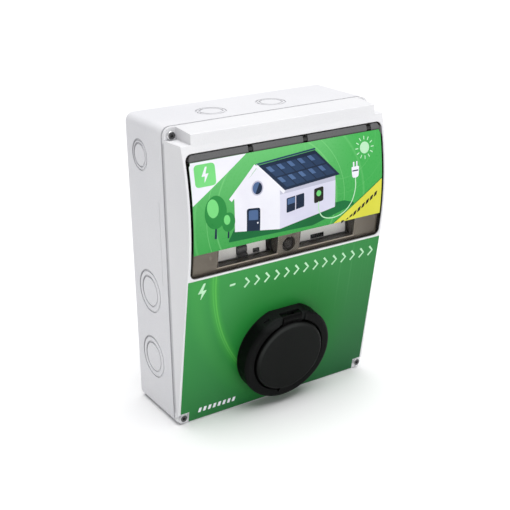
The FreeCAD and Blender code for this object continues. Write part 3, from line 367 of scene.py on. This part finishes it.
MATS["spring_steel"] = metal("spring_steel", (0.5, 0.5, 0.51, 1.0), 0.25, (300.0, 300.0, 300.0))
MATS["pin_steel"] = metal("pin_steel", (0.34, 0.34, 0.35, 1.0), 0.3, (6.0, 600.0, 600.0))
MATS["contact_silver"] = metal("contact_silver", (0.72, 0.69, 0.60, 1.0), 0.28, (300.0, 40.0, 300.0), spots=0.2)
MATS["device_grey"] = moulded("device_grey", srgb(249, 249, 250), srgb(245, 245, 247), 0.45, 1600, 0.03, edge=0.4,
                              worn=srgb(246, 246, 246), worn_amt=0.4)
MATS["controller_grey"] = moulded("controller_grey", srgb(249, 249, 250), srgb(244, 245, 247), 0.42, 1600, 0.03, edge=0.4,
                                  worn=srgb(244, 244, 244), worn_amt=0.4)
MATS["terminal_grey"] = moulded("terminal_grey", srgb(160, 163, 166), srgb(150, 153, 157), 0.5, 1400, 0.05, edge=0.4)
MATS["toggle_dark"] = moulded("toggle_dark", srgb(66, 66, 70), srgb(56, 56, 60), 0.33, 1800, 0.02, edge=0.5,
                              worn=srgb(88, 92, 100), worn_amt=0.5)
MATS["test_dark"] = moulded("test_dark", srgb(38, 39, 42), srgb(31, 32, 34), 0.4, 1800, 0.02, edge=0.35)
MATS["lever_dark"] = moulded("lever_dark", srgb(36, 36, 38), srgb(29, 29, 31), 0.4, 1800, 0.02, edge=0.3)
MATS["clip_plastic"] = moulded("clip_plastic", srgb(52, 52, 55), srgb(42, 42, 45), 0.5, 1500, 0.04, edge=0.3)
MATS["status_window"] = moulded("status_window", srgb(20, 23, 26), srgb(15, 18, 21), 0.25, 700, 0.005, edge=0.3, spec=0.15)
MATS["button_black"] = moulded("button_black", srgb(40, 37, 35), srgb(33, 31, 29), 0.46, 1500, 0.04, edge=0.4,
                               worn=srgb(96, 92, 88), worn_amt=0.4, spec=0.3)
MATS["button_brown"] = moulded("button_brown", srgb(40, 36, 33), srgb(33, 30, 27), 0.4, 1500, 0.03, edge=0.5,
                               worn=srgb(112, 105, 99), worn_amt=0.4, spec=0.3)
MATS["carrier_black"] = moulded("carrier_black", srgb(40, 41, 43), srgb(33, 34, 36), 0.5, 1500, 0.05, edge=0.3, spec=0.3)
MATS["actuator_plastic"] = moulded("actuator_plastic", srgb(40, 41, 44), srgb(33, 34, 37), 0.45, 1300, 0.05, edge=0.5, spec=0.3)
MATS["socket_black"] = moulded("socket_black", srgb(12, 13, 13), srgb(9, 10, 10), 0.5, 1500, 0.05, edge=0.5,
                               worn=srgb(40, 42, 42), worn_amt=0.4, spec=0.06, extra=bezel_painted_shade_and_highlight)
MATS["lid_black"] = moulded("lid_black", srgb(15, 17, 16), srgb(12, 14, 13), 0.46, 1700, 0.04, edge=0.5,
                            worn=srgb(60, 62, 61), worn_amt=0.5, spec=0.075, extra=lid_rim_painted_light)


def cover_material():
    """Off-white front moulding; the tray behind the flap is a matt grey-brown, dark as painted shade of the recess,
    with further painted shade and highlights on it.
    """
    g = Mat("cover_plastic")
    nb = g.bevel(0.6)
    x, y, z = g.xyz()
    zb = z + HALF_H
    cloud = g.noise(8.0, 4.0, 0.5)
    fine = g.noise(1300.0, 2.0, 0.6)
    flow = g.noise(1.0, 3.0, 0.6, vec=g.stretched(14.0, 60.0, 60.0))
    white = g.mix(g.ramp(cloud, 0.3, 0.7), srgb(230, 230, 232), srgb(226, 226, 229))
    white = g.mix(g.ramp(fine, 0.25, 0.75, 0.0, 0.05), white, (0.0, 0.0, 0.0, 1.0))
    rub = g.wear(nb) * g.ramp(g.noise(230.0, 3.0, 0.6), 0.3, 0.62)
    white = g.mix(rub * 0.3, white, srgb(242, 242, 242))
    # the tray's darker grey-brown is painted shade of the recess behind the flap
    tray = g.mix(g.ramp(g.noise(26.0, 4.0, 0.55), 0.3, 0.7), srgb(126, 119, 109), srgb(118, 111, 101))
    tray = g.mix(g.ramp(fine, 0.25, 0.75, 0.0, 0.08), tray, (0.0, 0.0, 0.0, 1.0))
    # painted highlight along the tray's edges
    tray = g.mix(g.wear(nb, 0.02, 0.2) * 0.85, tray, srgb(236, 230, 220))
    # the trough above the film is a little greyer
    tray = g.mix(g.ramp(zb, 296.5, 298.5, 0.0, 0.6), tray, srgb(150, 150, 150))
    # painted shade towards the tray's right end
    tray = g.mix(g.ramp(x, 88.0, 112.0, 0.0, 0.7), tray, srgb(96, 88, 78))
    # painted shade in and round the cup between the two openings
    cup = ring(g, x, zb, 0.0, 192.0, 0.0)
    tray = g.mix(g.ramp(cup, 12.0, 15.0, 0.35, 0.0), tray, srgb(84, 79, 74))
    # inside the opening and behind the outer arch by more than a millimetre
    dx = x.abs() - 119.55
    dz = (zb - 242.5).abs() - 63.95
    d = zb - ARC_Z
    depth = ((y * -1.0 + ARC_Y) * (y * -1.0 + ARC_Y) + d * d).sqrt()
    inside = (dx.max(dz).max(depth - (ARC_R - 1.0))) * -1.0
    k = g.ramp(inside, 0.0, 0.35)
    # painted shade on the walls of the two device openings, and a painted highlight as a pale lip along their lower
    # edge
    ax, wx = (x.abs() - 50.0).abs() - 36.0, (zb - 207.3).abs() - 23.3
    hole = ax.max(wx)
    deep = g.ramp(depth, ARC_R - 5.2, ARC_R - 4.0, 1.0, 0.0)
    tray = g.mix(g.ramp(hole, 0.1, 0.5, 1.0, 0.0) * deep * 0.85, tray, srgb(44, 38, 28))
    lip_painted_highlight = g.ramp((zb - 183.35).abs(), 0.25, 0.6, 1.0, 0.0) * g.ramp(ax, 0.8, 1.4, 1.0, 0.0)
    ledge_painted_shade = g.ramp((zb - 181.6).abs(), 0.6, 1.4, 1.0, 0.0) * g.ramp(x.abs(), 112.0, 117.0, 1.0, 0.0)
    # painted shade on the ledge under the lip
    tray = g.mix(ledge_painted_shade * 0.35, tray, srgb(78, 68, 58))
    # painted highlight: the pale lip along the openings' lower edge
    tray = g.mix(lip_painted_highlight * 0.8, tray, srgb(226, 214, 196))
    # painted shadow lines along the openings' left edges
    side = g.ramp((x + 86.4).abs(), 0.3, 0.6, 1.0, 0.0).max(g.ramp((x - 13.6).abs(), 0.3, 0.6, 1.0, 0.0)) * g.ramp(wx, 0.2, 0.6, 1.0, 0.0)
    tray = g.mix(side * 0.85, tray, srgb(44, 38, 32))
    c = g.mix(k, white, tray)
    # shade under the stepped rim of the cover, along both sides of the seam
    rimv = g.ramp(y, -84.4, -82.4) * g.ramp(x.abs(), 117.0, 119.0) * g.ramp(z.abs(), 146.0, 150.0, 1.0, 0.0)
    c = g.mix(rimv * 0.5, c, srgb(128, 128, 134))
    # painted contact shadow in the hairline round the bezel, so it shows no bare white
    fx, fv, fr_ = face_polar(g)
    c = g.mix(g.ramp(fr_, 55.9, 56.3, 1.0, 0.0), c, srgb(14, 30, 16))
    # painted shade darkens the three hinge eyes
    eye = (x + 46.0).abs().min((x - 20.0).abs()).min((x - 102.0).abs())
    c = g.mix(g.ramp(eye, 3.0, 3.4, 1.0, 0.0) * g.ramp(zb, 294.3, 295.3) * g.ramp(zb, 305.2, 305.7, 1.0, 0.0), c, srgb(34, 34, 34))
    r = g.ramp(fine * 0.6 + flow * 0.4, 0.2, 0.8, 0.40, 0.52)
    h = fine * 0.65 + g.voronoi(820.0) * 0.5
    return g.surface(g.principled(c, r, g.bump(h, 1.0, 0.05, nb), Specular_IOR_Level=0.5))


MATS["cover_plastic"] = cover_material()


def smoked_material():
    """Thin smoked acrylic: tinted see-through, darker cut edges, a polished skin
    with faint wipe marks."""
    g = Mat("smoked_window")
    nb = g.bevel(0.5, 4)
    x, y, z = g.xyz()
    zb = z + HALF_H
    haze = g.noise(30.0, 5.0, 0.6)
    wipe = g.noise(1.0, 4.0, 0.6, vec=g.stretched(30.0, 30.0, 260.0))
    tint = g.mix(g.ramp(haze, 0.3, 0.7), (0.965, 0.957, 0.945, 1.0), (0.95, 0.942, 0.93, 1.0))
    rim = g.ramp(x.abs(), 116.3, 117.4).max(g.ramp(zb, 180.2, 182.2, 0.5, 0.0))
    tint = g.mix(rim, tint, (0.22, 0.21, 0.20, 1.0))
    tr = g.new("ShaderNodeBsdfTransparent")
    g.put(tr.inputs["Color"], tint)
    gl = g.new("ShaderNodeBsdfGlossy")
    gl.inputs["Color"].default_value = (1.0, 1.0, 1.0, 1.0)
    g.put(gl.inputs["Roughness"], g.ramp(wipe, 0.35, 0.75, 0.04, 0.10))
    g.put(gl.inputs["Normal"], nb)
    fr = g.new("ShaderNodeFresnel")
    fr.inputs["IOR"].default_value = 1.10
    g.put(fr.inputs["Normal"], nb)
    mx = g.new("ShaderNodeMixShader")
    # the rolled hinge along the top is frosted and almost opaque, with painted shade along its lower edge
    di = g.new("ShaderNodeBsdfDiffuse")
    grain = g.noise(900.0, 2.0, 0.6)
    body = g.mix(g.ramp(grain, 0.3, 0.7), srgb(110, 110, 111), srgb(102, 102, 103))
    # painted shade along the hinge's lower edge
    body = g.mix(g.ramp(zb, 297.6, 300.2, 1.0, 0.0), body, srgb(54, 54, 52))
    g.put(di.inputs["Color"], body)
    g.put(di.inputs["Normal"], nb)
    hz = g.new("ShaderNodeMixShader")
    g.put(hz.inputs[0], g.ramp(zb, 297.7, 298.3, 0.0, 0.93))
    g.link(tr.outputs[0], hz.inputs[1])
    g.link(di.outputs[0], hz.inputs[2])
    g.link(fr.outputs[0], mx.inputs[0])
    g.link(hz.outputs[0], mx.inputs[1])
    g.link(gl.outputs[0], mx.inputs[2])
    return g.surface(mx)


MATS["smoked_window"] = smoked_material()


def film_common(g, c, rough=0.3, relief=0.012):
    """Printed polycarbonate film: faint orange peel, printing grain, tiny flecks."""
    grain = g.noise(2600.0, 2.0, 0.7)
    peel = g.noise(420.0, 3.0, 0.55)
    c = g.mix(g.ramp(grain, 0.3, 0.7, 0.0, 0.04), c, (0.0, 0.0, 0.0, 1.0))
    r = g.ramp(peel, 0.3, 0.7, rough - 0.05, rough + 0.07)
    n = g.bump(peel * 0.8 + grain * 0.3, 0.7, relief)
    return g.surface(g.principled(c, r, n, Specular_IOR_Level=0.12))


def upper_print():
    g = Mat("upper_print")
    x, y, z = g.xyz()
    zb = z + HALF_H
    a, b = srgb(106, 194, 114), srgb(58, 158, 73)
    t = g.ramp(x * 0.06 + zb * -1.0, -300.0, -205.0, 0.0, 1.0, smooth=False).pow(0.8)
    c = g.mix(t, a, b)
    c = g.mix(g.ramp(x, 30.0, 95.0, 0.0, 0.75), c, srgb(58, 170, 76))
    c = g.mix(g.ramp(g.noise(7.0, 3.0, 0.5), 0.35, 0.7, 0.0, 0.07), c, srgb(100, 198, 112))
    # wide soft rings of paler green round the left part
    for cx, cz, r, w, s in ((-18.0, 236.0, 74.0, 1.3, 0.30), (-18.0, 236.0, 84.0, 0.6, 0.38), (-12.0, 232.0, 104.0, 2.2, 0.16),
                            (64.0, 300.0, 46.0, 0.7, 0.14), (64.0, 300.0, 62.0, 0.5, 0.10)):
        dd = ring(g, x, zb, cx, cz, r).abs()
        c = g.mix(g.ramp(dd, 0.0, w, s, 0.0), c, srgb(150, 228, 150))
    return film_common(g, c)


MATS["upper_print"] = upper_print()


def lower_print():
    g = Mat("lower_print")
    x, y, z = g.xyz()
    zb = z + HALF_H
    # green that falls from the upper left to the lower right
    t = g.ramp(x * 0.42 + zb * -0.95, -205.0, 45.0, 0.0, 1.0, smooth=False)
    c = g.mix(t, srgb(61, 153, 75), srgb(31, 91, 52))
    c = g.mix(g.ramp(g.noise(6.0, 3.0, 0.5), 0.35, 0.7, 0.0, 0.08), c, srgb(54, 130, 72))
    # painted contact shadow: a darker green round the socket
    socket_painted_shadow = g.ramp(ring(g, x, zb, -2.0, 84.0, 56.0), 0.0, 44.0, 0.55, 0.0)
    c = g.mix(socket_painted_shadow, c, srgb(18, 122, 38))
    # a bundle of thin pale sweeps round the socket's left side
    for cx, cz, r, w, s, col in ((100.0, 172.0, 189.0, 1.3, 0.62, (112, 204, 92)), (104.0, 176.0, 196.5, 0.9, 0.5, (110, 204, 100)),
                                 (102.0, 174.0, 193.0, 8.5, 0.42, (84, 190, 70)), (98.0, 180.0, 210.0, 15.0, 0.18, (88, 180, 84)),
                                 (-20.0, 40.0, 214.0, 1.1, 0.16, (120, 200, 120))):
        dd = ring(g, x, zb, cx, cz, r).abs()
        fade = g.ramp(zb, 30.0, 160.0, 0.35, 1.0)
        c = g.mix(g.ramp(dd, 0.0, w, s, 0.0) * fade, c, srgb(*col))
    # faint upright streaks at the upper right
    streak = g.noise(1.0, 2.0, 0.5, vec=g.stretched(260.0, 0.0, 0.0))
    zone = g.ramp(x, 20.0, 70.0) * g.ramp(zb, 70.0, 150.0)
    c = g.mix(g.ramp(streak, 0.55, 0.75, 0.0, 0.16) * zone, c, srgb(120, 196, 130))
    return film_common(g, c, 0.33)


MATS["lower_print"] = lower_print()

for row in frame["record"]["subparts"]:
    o = NODES[row["node"]]
    m = MATS[row["material_slot"]]
    for s_ in o.material_slots:
        s_.material = m


# ---------------------------------------------------------- printed shapes --
def ink(name, col, rough=0.32, col2=None):
    g = Mat(name)
    c2 = col2 or tuple(k * 0.9 for k in col[:3]) + (1.0,)
    return film_common(g, g.mix(g.ramp(g.noise(22.0, 3.0, 0.5), 0.3, 0.7), col, c2), rough)


INK = {
    "white": ink("ink_white", srgb(240, 240, 247), col2=srgb(233, 232, 242)),
    "lilac": ink("ink_lilac", srgb(222, 221, 238), col2=srgb(212, 211, 231)),
    "grey": ink("ink_grey", srgb(196, 196, 214), col2=srgb(186, 186, 206)),
    "navy": ink("ink_navy", srgb(30, 46, 70), col2=srgb(24, 38, 60)),
    "slate": ink("ink_slate", srgb(44, 66, 98), col2=srgb(38, 58, 88)),
    "steel": ink("ink_steel", srgb(84, 112, 154), col2=srgb(74, 100, 142)),
    "black": ink("ink_black", srgb(40, 38, 34), col2=srgb(32, 31, 28)),
    "shade": ink("ink_shade", srgb(22, 112, 58), col2=srgb(18, 100, 52)),
    "leaf": ink("ink_leaf", srgb(44, 140, 66), col2=srgb(36, 126, 58)),
    "mint": ink("ink_mint", srgb(122, 218, 128), col2=srgb(110, 208, 118)),
    "pale": ink("ink_pale", srgb(196, 238, 200), col2=srgb(184, 230, 190)),
    "yellow": ink("ink_yellow", srgb(222, 219, 76), col2=srgb(214, 211, 66)),
    "badge": ink("ink_badge", srgb(124, 218, 130), col2=srgb(114, 208, 120)),
}


def ellipse(cx, cz, rx, rz, n=40, rot=0.0, a0=0.0, a1=360.0):
    r = math.radians(rot)
    out = []
    full = abs(a1 - a0) >= 360.0
    for i in range(n if full else n + 1):
        a = math.radians(a0 + (a1 - a0) * i / n)
        u, w = rx * math.cos(a), rz * math.sin(a)
        out.append((cx + u * math.cos(r) - w * math.sin(r), cz + u * math.sin(r) + w * math.cos(r)))
    return out


def rounded(pts, r, n=6):
    """Rounds the corners of a convex or concave outline."""
    out = []
    m = len(pts)
    for i in range(m):
        p, a, b = Vector(pts[i]), Vector(pts[i - 1]), Vector(pts[(i + 1) % m])
        ua, ub = (a - p).normalized(), (b - p).normalized()
        rr = r[i] if isinstance(r, (list, tuple)) else r
        ang = ua.angle(ub)
        if rr <= 0.0 or ang > 3.1:
            out.append(tuple(p))
            continue
        t = min(rr / math.tan(ang / 2), (a - p).length * 0.49, (b - p).length * 0.49)
        p0, p1 = p + ua * t, p + ub * t
        for k in range(n + 1):
            f = k / n
            q = p0 * (1 - f) ** 2 + p * 2 * f * (1 - f) + p1 * f ** 2
            out.append(tuple(q))
    return out


def spline(pts, n=14):
    """Smooth line through the points."""
    P = [Vector(p) for p in pts]
    P = [P[0] * 2 - P[1]] + P + [P[-1] * 2 - P[-2]]
    out = []
    for i in range(1, len(P) - 2):
        for k in range(n):
            t = k / n
            a, b, c, d = P[i - 1], P[i], P[i + 1], P[i + 2]
            q = 0.5 * ((2 * b) + (c - a) * t + (2 * a - 5 * b + 4 * c - d) * t * t + (3 * b - a - 3 * c + d) * t ** 3)
            out.append(q)
    out.append(P[-2])
    return out


def stroke(pts, w):
    """Band of width w along a line, as a list of quads; w may taper."""
    P = [Vector(p) for p in pts]
    L, R = [], []
    for i, p in enumerate(P):
        d = (P[min(i + 1, len(P) - 1)] - P[max(i - 1, 0)]).normalized()
        n = Vector((-d.y, d.x))
        ww = w[0] + (w[1] - w[0]) * i / (len(P) - 1) if isinstance(w, (tuple, list)) else w
        L.append(p + n * ww / 2)
        R.append(p - n * ww / 2)
    return [[tuple(L[i]), tuple(L[i + 1]), tuple(R[i + 1]), tuple(R[i])] for i in range(len(P) - 1)]


def decal(name, body, layers, where, step=3.0):
    """Printed shapes laid on a curved or flat face.  layers: (ink, outline or
    list of outlines, height above the face in mm)."""
    bm = bmesh.new()
    inks = []
    for ink_name, shapes, lift in layers:
        if ink_name not in inks:
            inks.append(ink_name)
        idx = inks.index(ink_name)
        if shapes and not isinstance(shapes[0][0], (tuple, list)):
            shapes = [shapes]
        for outline in shapes:
            tris = tessellate_polygon([[Vector((p[0], p[1], 0.0)) for p in outline]])
            part = bmesh.new()
            vs = [part.verts.new((p[0], p[1], lift)) for p in outline]
            for t in tris:
                try:
                    part.faces.new([vs[i] for i in t])
                except ValueError:
                    pass
            if step:
                z0, z1 = min(p[1] for p in outline), max(p[1] for p in outline)
                k = math.ceil(z0 / step) * step
                while k < z1:
                    bmesh.ops.bisect_plane(part, geom=part.verts[:] + part.edges[:] + part.faces[:],
                                           plane_co=(0, k, 0), plane_no=(0, 1, 0), dist=1e-5)
                    k += step
            vmap = {}
            for v in part.verts:
                vmap[v] = bm.verts.new(where(v.co.x, v.co.y, v.co.z))
            for f in part.faces:
                nf = bm.faces.new([vmap[v] for v in f.verts])
                nf.material_index = idx
                nf.smooth = True
            part.free()
    bm.normal_update()
    for f in bm.faces:
        if f.normal.y > 0:
            f.normal_flip()
    me = bpy.data.meshes.new(name)
    bm.to_mesh(me)
    bm.free()
    for k in inks:
        me.materials.append(INK[k])
    o = bpy.data.objects.new(name, me)
    scene.collection.objects.link(o)
    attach(o, body)
    return o


def on_flap(x, zb, lift):
    # radial lift from the film's own surface, which stands 0.1 mm proud
    r = ARC_R + 0.1 + lift
    d = zb - ARC_Z
    return Vector((x, ARC_Y - math.sqrt(r * r - d * d), zb - HALF_H)) * MM


def on_face(x, zb, lift):
    return Vector((x, lean(zb, 0.25 + lift), zb - HALF_H)) * MM


def par(a, b, d, s0, s1, t0, t1):
    """Part of the parallelogram a, a-b, a-d between two fractions each way."""
    A, B, D = Vector(a), Vector(b), Vector(d)
    f = lambda s, t: tuple(A + (B - A) * s + (D - A) * t)
    return [f(s0, t0), f(s1, t0), f(s1, t1), f(s0, t1)]


def bolt(cx, cz, k):
    pts = [(0.10, 1.0), (-0.52, -0.14), (-0.04, -0.10), (-0.22, -1.0), (0.52, 0.20), (0.06, 0.16), (0.36, 1.0)]
    return rounded([(cx + x * k, cz + z * k) for x, z in pts], 0.06 * k, 3)


L1, L2, L3, L4, L5 = 0.02, 0.04, 0.06, 0.08, 0.10
art = []
# corner fields
art.append(("white", [(-115.1, 297.9), (-52, 297.9), (-116.6, 256.4), (-116.6, 294.3), (-115.2, 296.5)], L1))
art.append(("yellow", [(116.6, 245.4), (53.2, 205.3), (116.6, 205.3)], L1))
art.append(("shade", stroke([(116.6, 245.8), (52.8, 205.4)], 0.8), L2))
for i in range(9):
    t = 0.16 + 0.085 * i
    ex, ez = 116.6 - 63.4 * t, 245.4 - 40.1 * t
    art.append(("black", rounded([(ex + 4.6, ez - 6.2), (ex + 0.8, ez - 8.6), (ex - 0.4, ez - 13.6), (ex + 3.4, ez - 11.2)], 0.5, 3)
                if ez - 13.8 > 206.5 else [(ex + 4.6, ez - 6.2), (ex + 0.8, ez - 8.6), (ex + 0.6, max(ez - 11.0, 206.4)), (ex + 4.4, max(ez - 9.0, 206.6))], L2))
art.append(("badge", rounded([(-112.0, 295.4), (-88.6, 295.4), (-88.6, 273.6), (-112.0, 273.6)], 4.5), L2))
art.append(("white", bolt(-100.3, 284.5, 8.0), L3))
# ground shadow
art.append(("shade", rounded([(-78, 211.5), (26, 209.0), (84, 223.5), (66, 229.5), (-70, 226)], [2, 6, 4, 6, 6]), L1))
# house: gable wall, long wall, roof with panels
A, B, D = (-42.0, 284.0), (30.0, 289.0), (-12.0, 254.0)
C = (B[0] + D[0] - A[0], B[1] + D[1] - A[1])
art.append(("white", [(-70, 221.5), (-16, 213.5), (-16, 256.5), (-42, 281.5), (-70, 257.5)], L2))
art.append(("lilac", [(-16, 213.5), (54, 224.5), (54, 259.0), (-16, 256.5)], L2))
art.append(("grey", [(-16, 250.5), (54, 253.8), (54, 259.0), (-16, 256.5)], L3))
art.append(("navy", [A, B, C, D], L4))
art.append(("white", stroke([(-74.5, 255.0), (-42.6, 284.6)], 4.2), L4))
art.append(("white", stroke([(-42.6, 284.6), (-10.4, 252.2)], 3.4), L5))
art.append(("slate", stroke([(-42.0, 285.4), (30.5, 290.4)], 1.6), L5))
for i in range(5):
    for j in range(2):
        s0, s1 = 0.10 + 0.175 * i, 0.10 + 0.175 * i + 0.155
        t0, t1 = 0.12 + 0.42 * j, 0.12 + 0.42 * j + 0.37
        art.append(("slate", par(A, B, D, s0, s1, t0, t1), L5))
        art.append(("steel", par(A, B, D, s0, s0 + (s1 - s0) * 0.45, t0, t0 + (t1 - t0) * 0.5), L5 + 0.02))
# door, window, openings of the long wall
art.append(("navy", rounded([(-56, 219.3), (-40, 216.9), (-40, 241.5), (-56, 243.2)], [0.3, 0.3, 3.0, 3.0]), L3))
art.append(("steel", rounded([(-53.6, 230.6), (-42.6, 229.2), (-42.6, 239.6), (-53.6, 240.9)], [0.5, 0.5, 2.0, 2.0]), L4))
art.append(("white", ellipse(-43.0, 226.0, 0.9, 1.0, 14), L5))
art.append(("grey", ellipse(-42.5, 262.0, 7.0, 7.6, 36), L3))
art.append(("navy", ellipse(-42.5, 262.0, 5.6, 6.2, 36), L4))
art.append(("steel", ellipse(-42.5, 262.0, 5.6, 6.2, 18, 0, 60, 240), L5))
art.append(("navy", rounded([(-8, 229.5), (14, 232.6), (14, 247.2), (-8, 245.2)], 1.2), L4))
art.append(("steel", [(-6.8, 238.0), (2.2, 239.0), (2.2, 245.0), (-6.8, 244.2)], L5))
art.append(("lilac", stroke([(3.2, 230.4), (3.2, 246.8)], 1.0), L5 + 0.02))
# wall unit with its lead
art.append(("black", rounded([(26.5, 233.0), (38.5, 234.8), (38.5, 250.2), (26.5, 249.0)], 2.2), L4))
art.append(("mint", ellipse(32.5, 243.4, 3.0, 3.2, 26), L5))
lead = spline([(32.5, 234.5), (33.0, 225.0), (39.0, 216.0), (52.0, 212.6), (66.0, 216.0), (76.0, 226.0), (80.5, 240.0), (80.5, 252.0)])
art.append(("pale", stroke(lead, 1.15), L5 + 0.02))
# plug at the lead's end
art.append(("white", rounded([(76.4, 252.0), (84.6, 252.0), (85.6, 264.0), (75.4, 264.0)], [3.2, 3.2, 1.2, 1.2]), L4))
art.append(("white", [[(77.6, 264.0), (79.4, 264.0), (79.4, 269.2), (77.6, 269.2)], [(81.8, 264.0), (83.6, 264.0), (83.6, 269.2), (81.8, 269.2)]], L4))
art.append(("navy", stroke([(76.6, 259.6), (84.4, 259.6)], 1.3), L5))
# trees on the left
art.append(("navy", stroke([(-92.0, 218.5), (-91.4, 241.0)], (2.6, 1.6)), L2))
art.append(("leaf", rounded(ellipse(-91.5, 246.0, 12.5, 17.0, 40), 0.0), L3))
art.append(("mint", ellipse(-94.6, 250.5, 6.4, 9.6, 30, 8), L4))
art.append(("navy", stroke([(-77.4, 216.4), (-77.0, 230.0)], (2.0, 1.2)), L2))
art.append(("leaf", ellipse(-77.2, 233.5, 7.6, 10.0, 34), L3))
art.append(("mint", ellipse(-79.0, 236.2, 3.6, 5.2, 26, 8), L4))
# plain sun where the sheet is otherwise empty
art.append(("pale", ellipse(94.0, 282.0, 6.2, 6.2, 40), L2))
for i in range(12):
    a = math.radians(30 * i)
    p0 = (94.0 + 8.4 * math.cos(a), 282.0 + 8.4 * math.sin(a))
    p1 = (94.0 + 12.2 * math.cos(a), 282.0 + 12.2 * math.sin(a))
    art.append(("pale", stroke([p0, p1], 1.1), L2))
decal("flap_print", "flap", art, on_flap)

# the lower sheet: a bolt, a dash and a long row of thin chevrons, no lettering
low = []
low.append(("pale", bolt(-104.5, 161.5, 10.0), L1))
low.append(("pale", rounded([(-72.2, 160.0), (-65.6, 160.4), (-65.3, 162.8), (-71.9, 162.4)], 0.6), L1))
for i in range(14):
    x0 = -54.0 + 12.5 * i
    zc = 160.2
    low.append(("pale", stroke([(x0, zc - 5.6), (x0 + 5.4, zc), (x0 + 0.6, zc + 5.6)], 2.3), L1))
for i in range(8):
    x0 = -100.0 + 6.1 * i
    low.append(("white", rounded([(x0, 9.6), (x0 + 3.4, 9.6), (x0 + 4.8, 15.2), (x0 + 1.4, 15.2)], 0.6, 3), L1))
decal("face_print", "enclosure", low, on_face, step=0)

# ---------------------------------------------------------------- stage -----
def floor_material():
    g = Mat("floor")
    c = g.mix(g.ramp(g.noise(1.5, 4.0, 0.5), 0.3, 0.7), (0.92, 0.92, 0.922, 1.0), (0.905, 0.905, 0.908, 1.0))
    return g.surface(g.principled(c, 0.7, Specular_IOR_Level=0.2))


bpy.ops.mesh.primitive_plane_add(size=14.0, location=(0, 0, -HALF_H * MM - 0.0002))
floor = bpy.context.object
floor.name = "floor"
floor.data.materials.append(floor_material())

world = bpy.data.worlds.new("studio")
scene.world = world
world.use_nodes = True
bg = world.node_tree.nodes["Background"]
bg.inputs[0].default_value = (0.985, 0.99, 1.0, 1.0)
bg.inputs[1].default_value = 0.30


def area(name, loc, target, sx, sy, power, col=(1.0, 1.0, 1.0)):
    d = bpy.data.lights.new(name, "AREA")
    d.shape = "RECTANGLE"
    d.size, d.size_y = sx, sy
    d.energy = power
    d.color = col
    o = bpy.data.objects.new(name, d)
    scene.collection.objects.link(o)
    o.location = loc
    o.rotation_euler = (Vector(target) - Vector(loc)).to_track_quat("-Z", "Y").to_euler()
    return o


# a very wide soft source over the set and a large soft panel in front
d = bpy.data.lights.new("soft_top", "SUN")
d.energy = 3.16
d.angle = math.radians(60.0)
o = bpy.data.objects.new("soft_top", d)
scene.collection.objects.link(o)
o.rotation_euler = Vector((-0.04, 0.08, -1.0)).to_track_quat("-Z", "Y").to_euler()
area("front_panel", (0.35, -2.6, 0.35), (0, -0.06, 0.0), 2.2, 1.6, 16.8)

# --------------------------------------------------------------- camera -----
AZ, EL, ROLL, DIST = -0.568660431, 0.368308619, -0.0129926632, 1.0843865
TX, TZ, FPX = -7.18452194, 163.670691, 990.656360
target = Vector((TX, -60.0, TZ - HALF_H)) * MM
back = Vector((math.sin(AZ) * math.cos(EL), -math.cos(AZ) * math.cos(EL), math.sin(EL)))
fwd = -back
right = fwd.cross(Vector((0, 0, 1))).normalized()
up = right.cross(fwd)
r2 = right * math.cos(ROLL) + up * math.sin(ROLL)
u2 = -right * math.sin(ROLL) + up * math.cos(ROLL)
cd = bpy.data.cameras.new("camera")
cam = bpy.data.objects.new("camera", cd)
scene.collection.objects.link(cam)
m = Matrix((r2, u2, back)).transposed().to_4x4()
m.translation = target + back * DIST
cam.matrix_world = m
cd.sensor_width = 36.0
cd.lens = FPX / 510.0 * 36.0
cd.clip_start, cd.clip_end = 0.02, 60.0
scene.camera = cam

scene.view_settings.view_transform = "Standard"
scene.view_settings.look = "None"
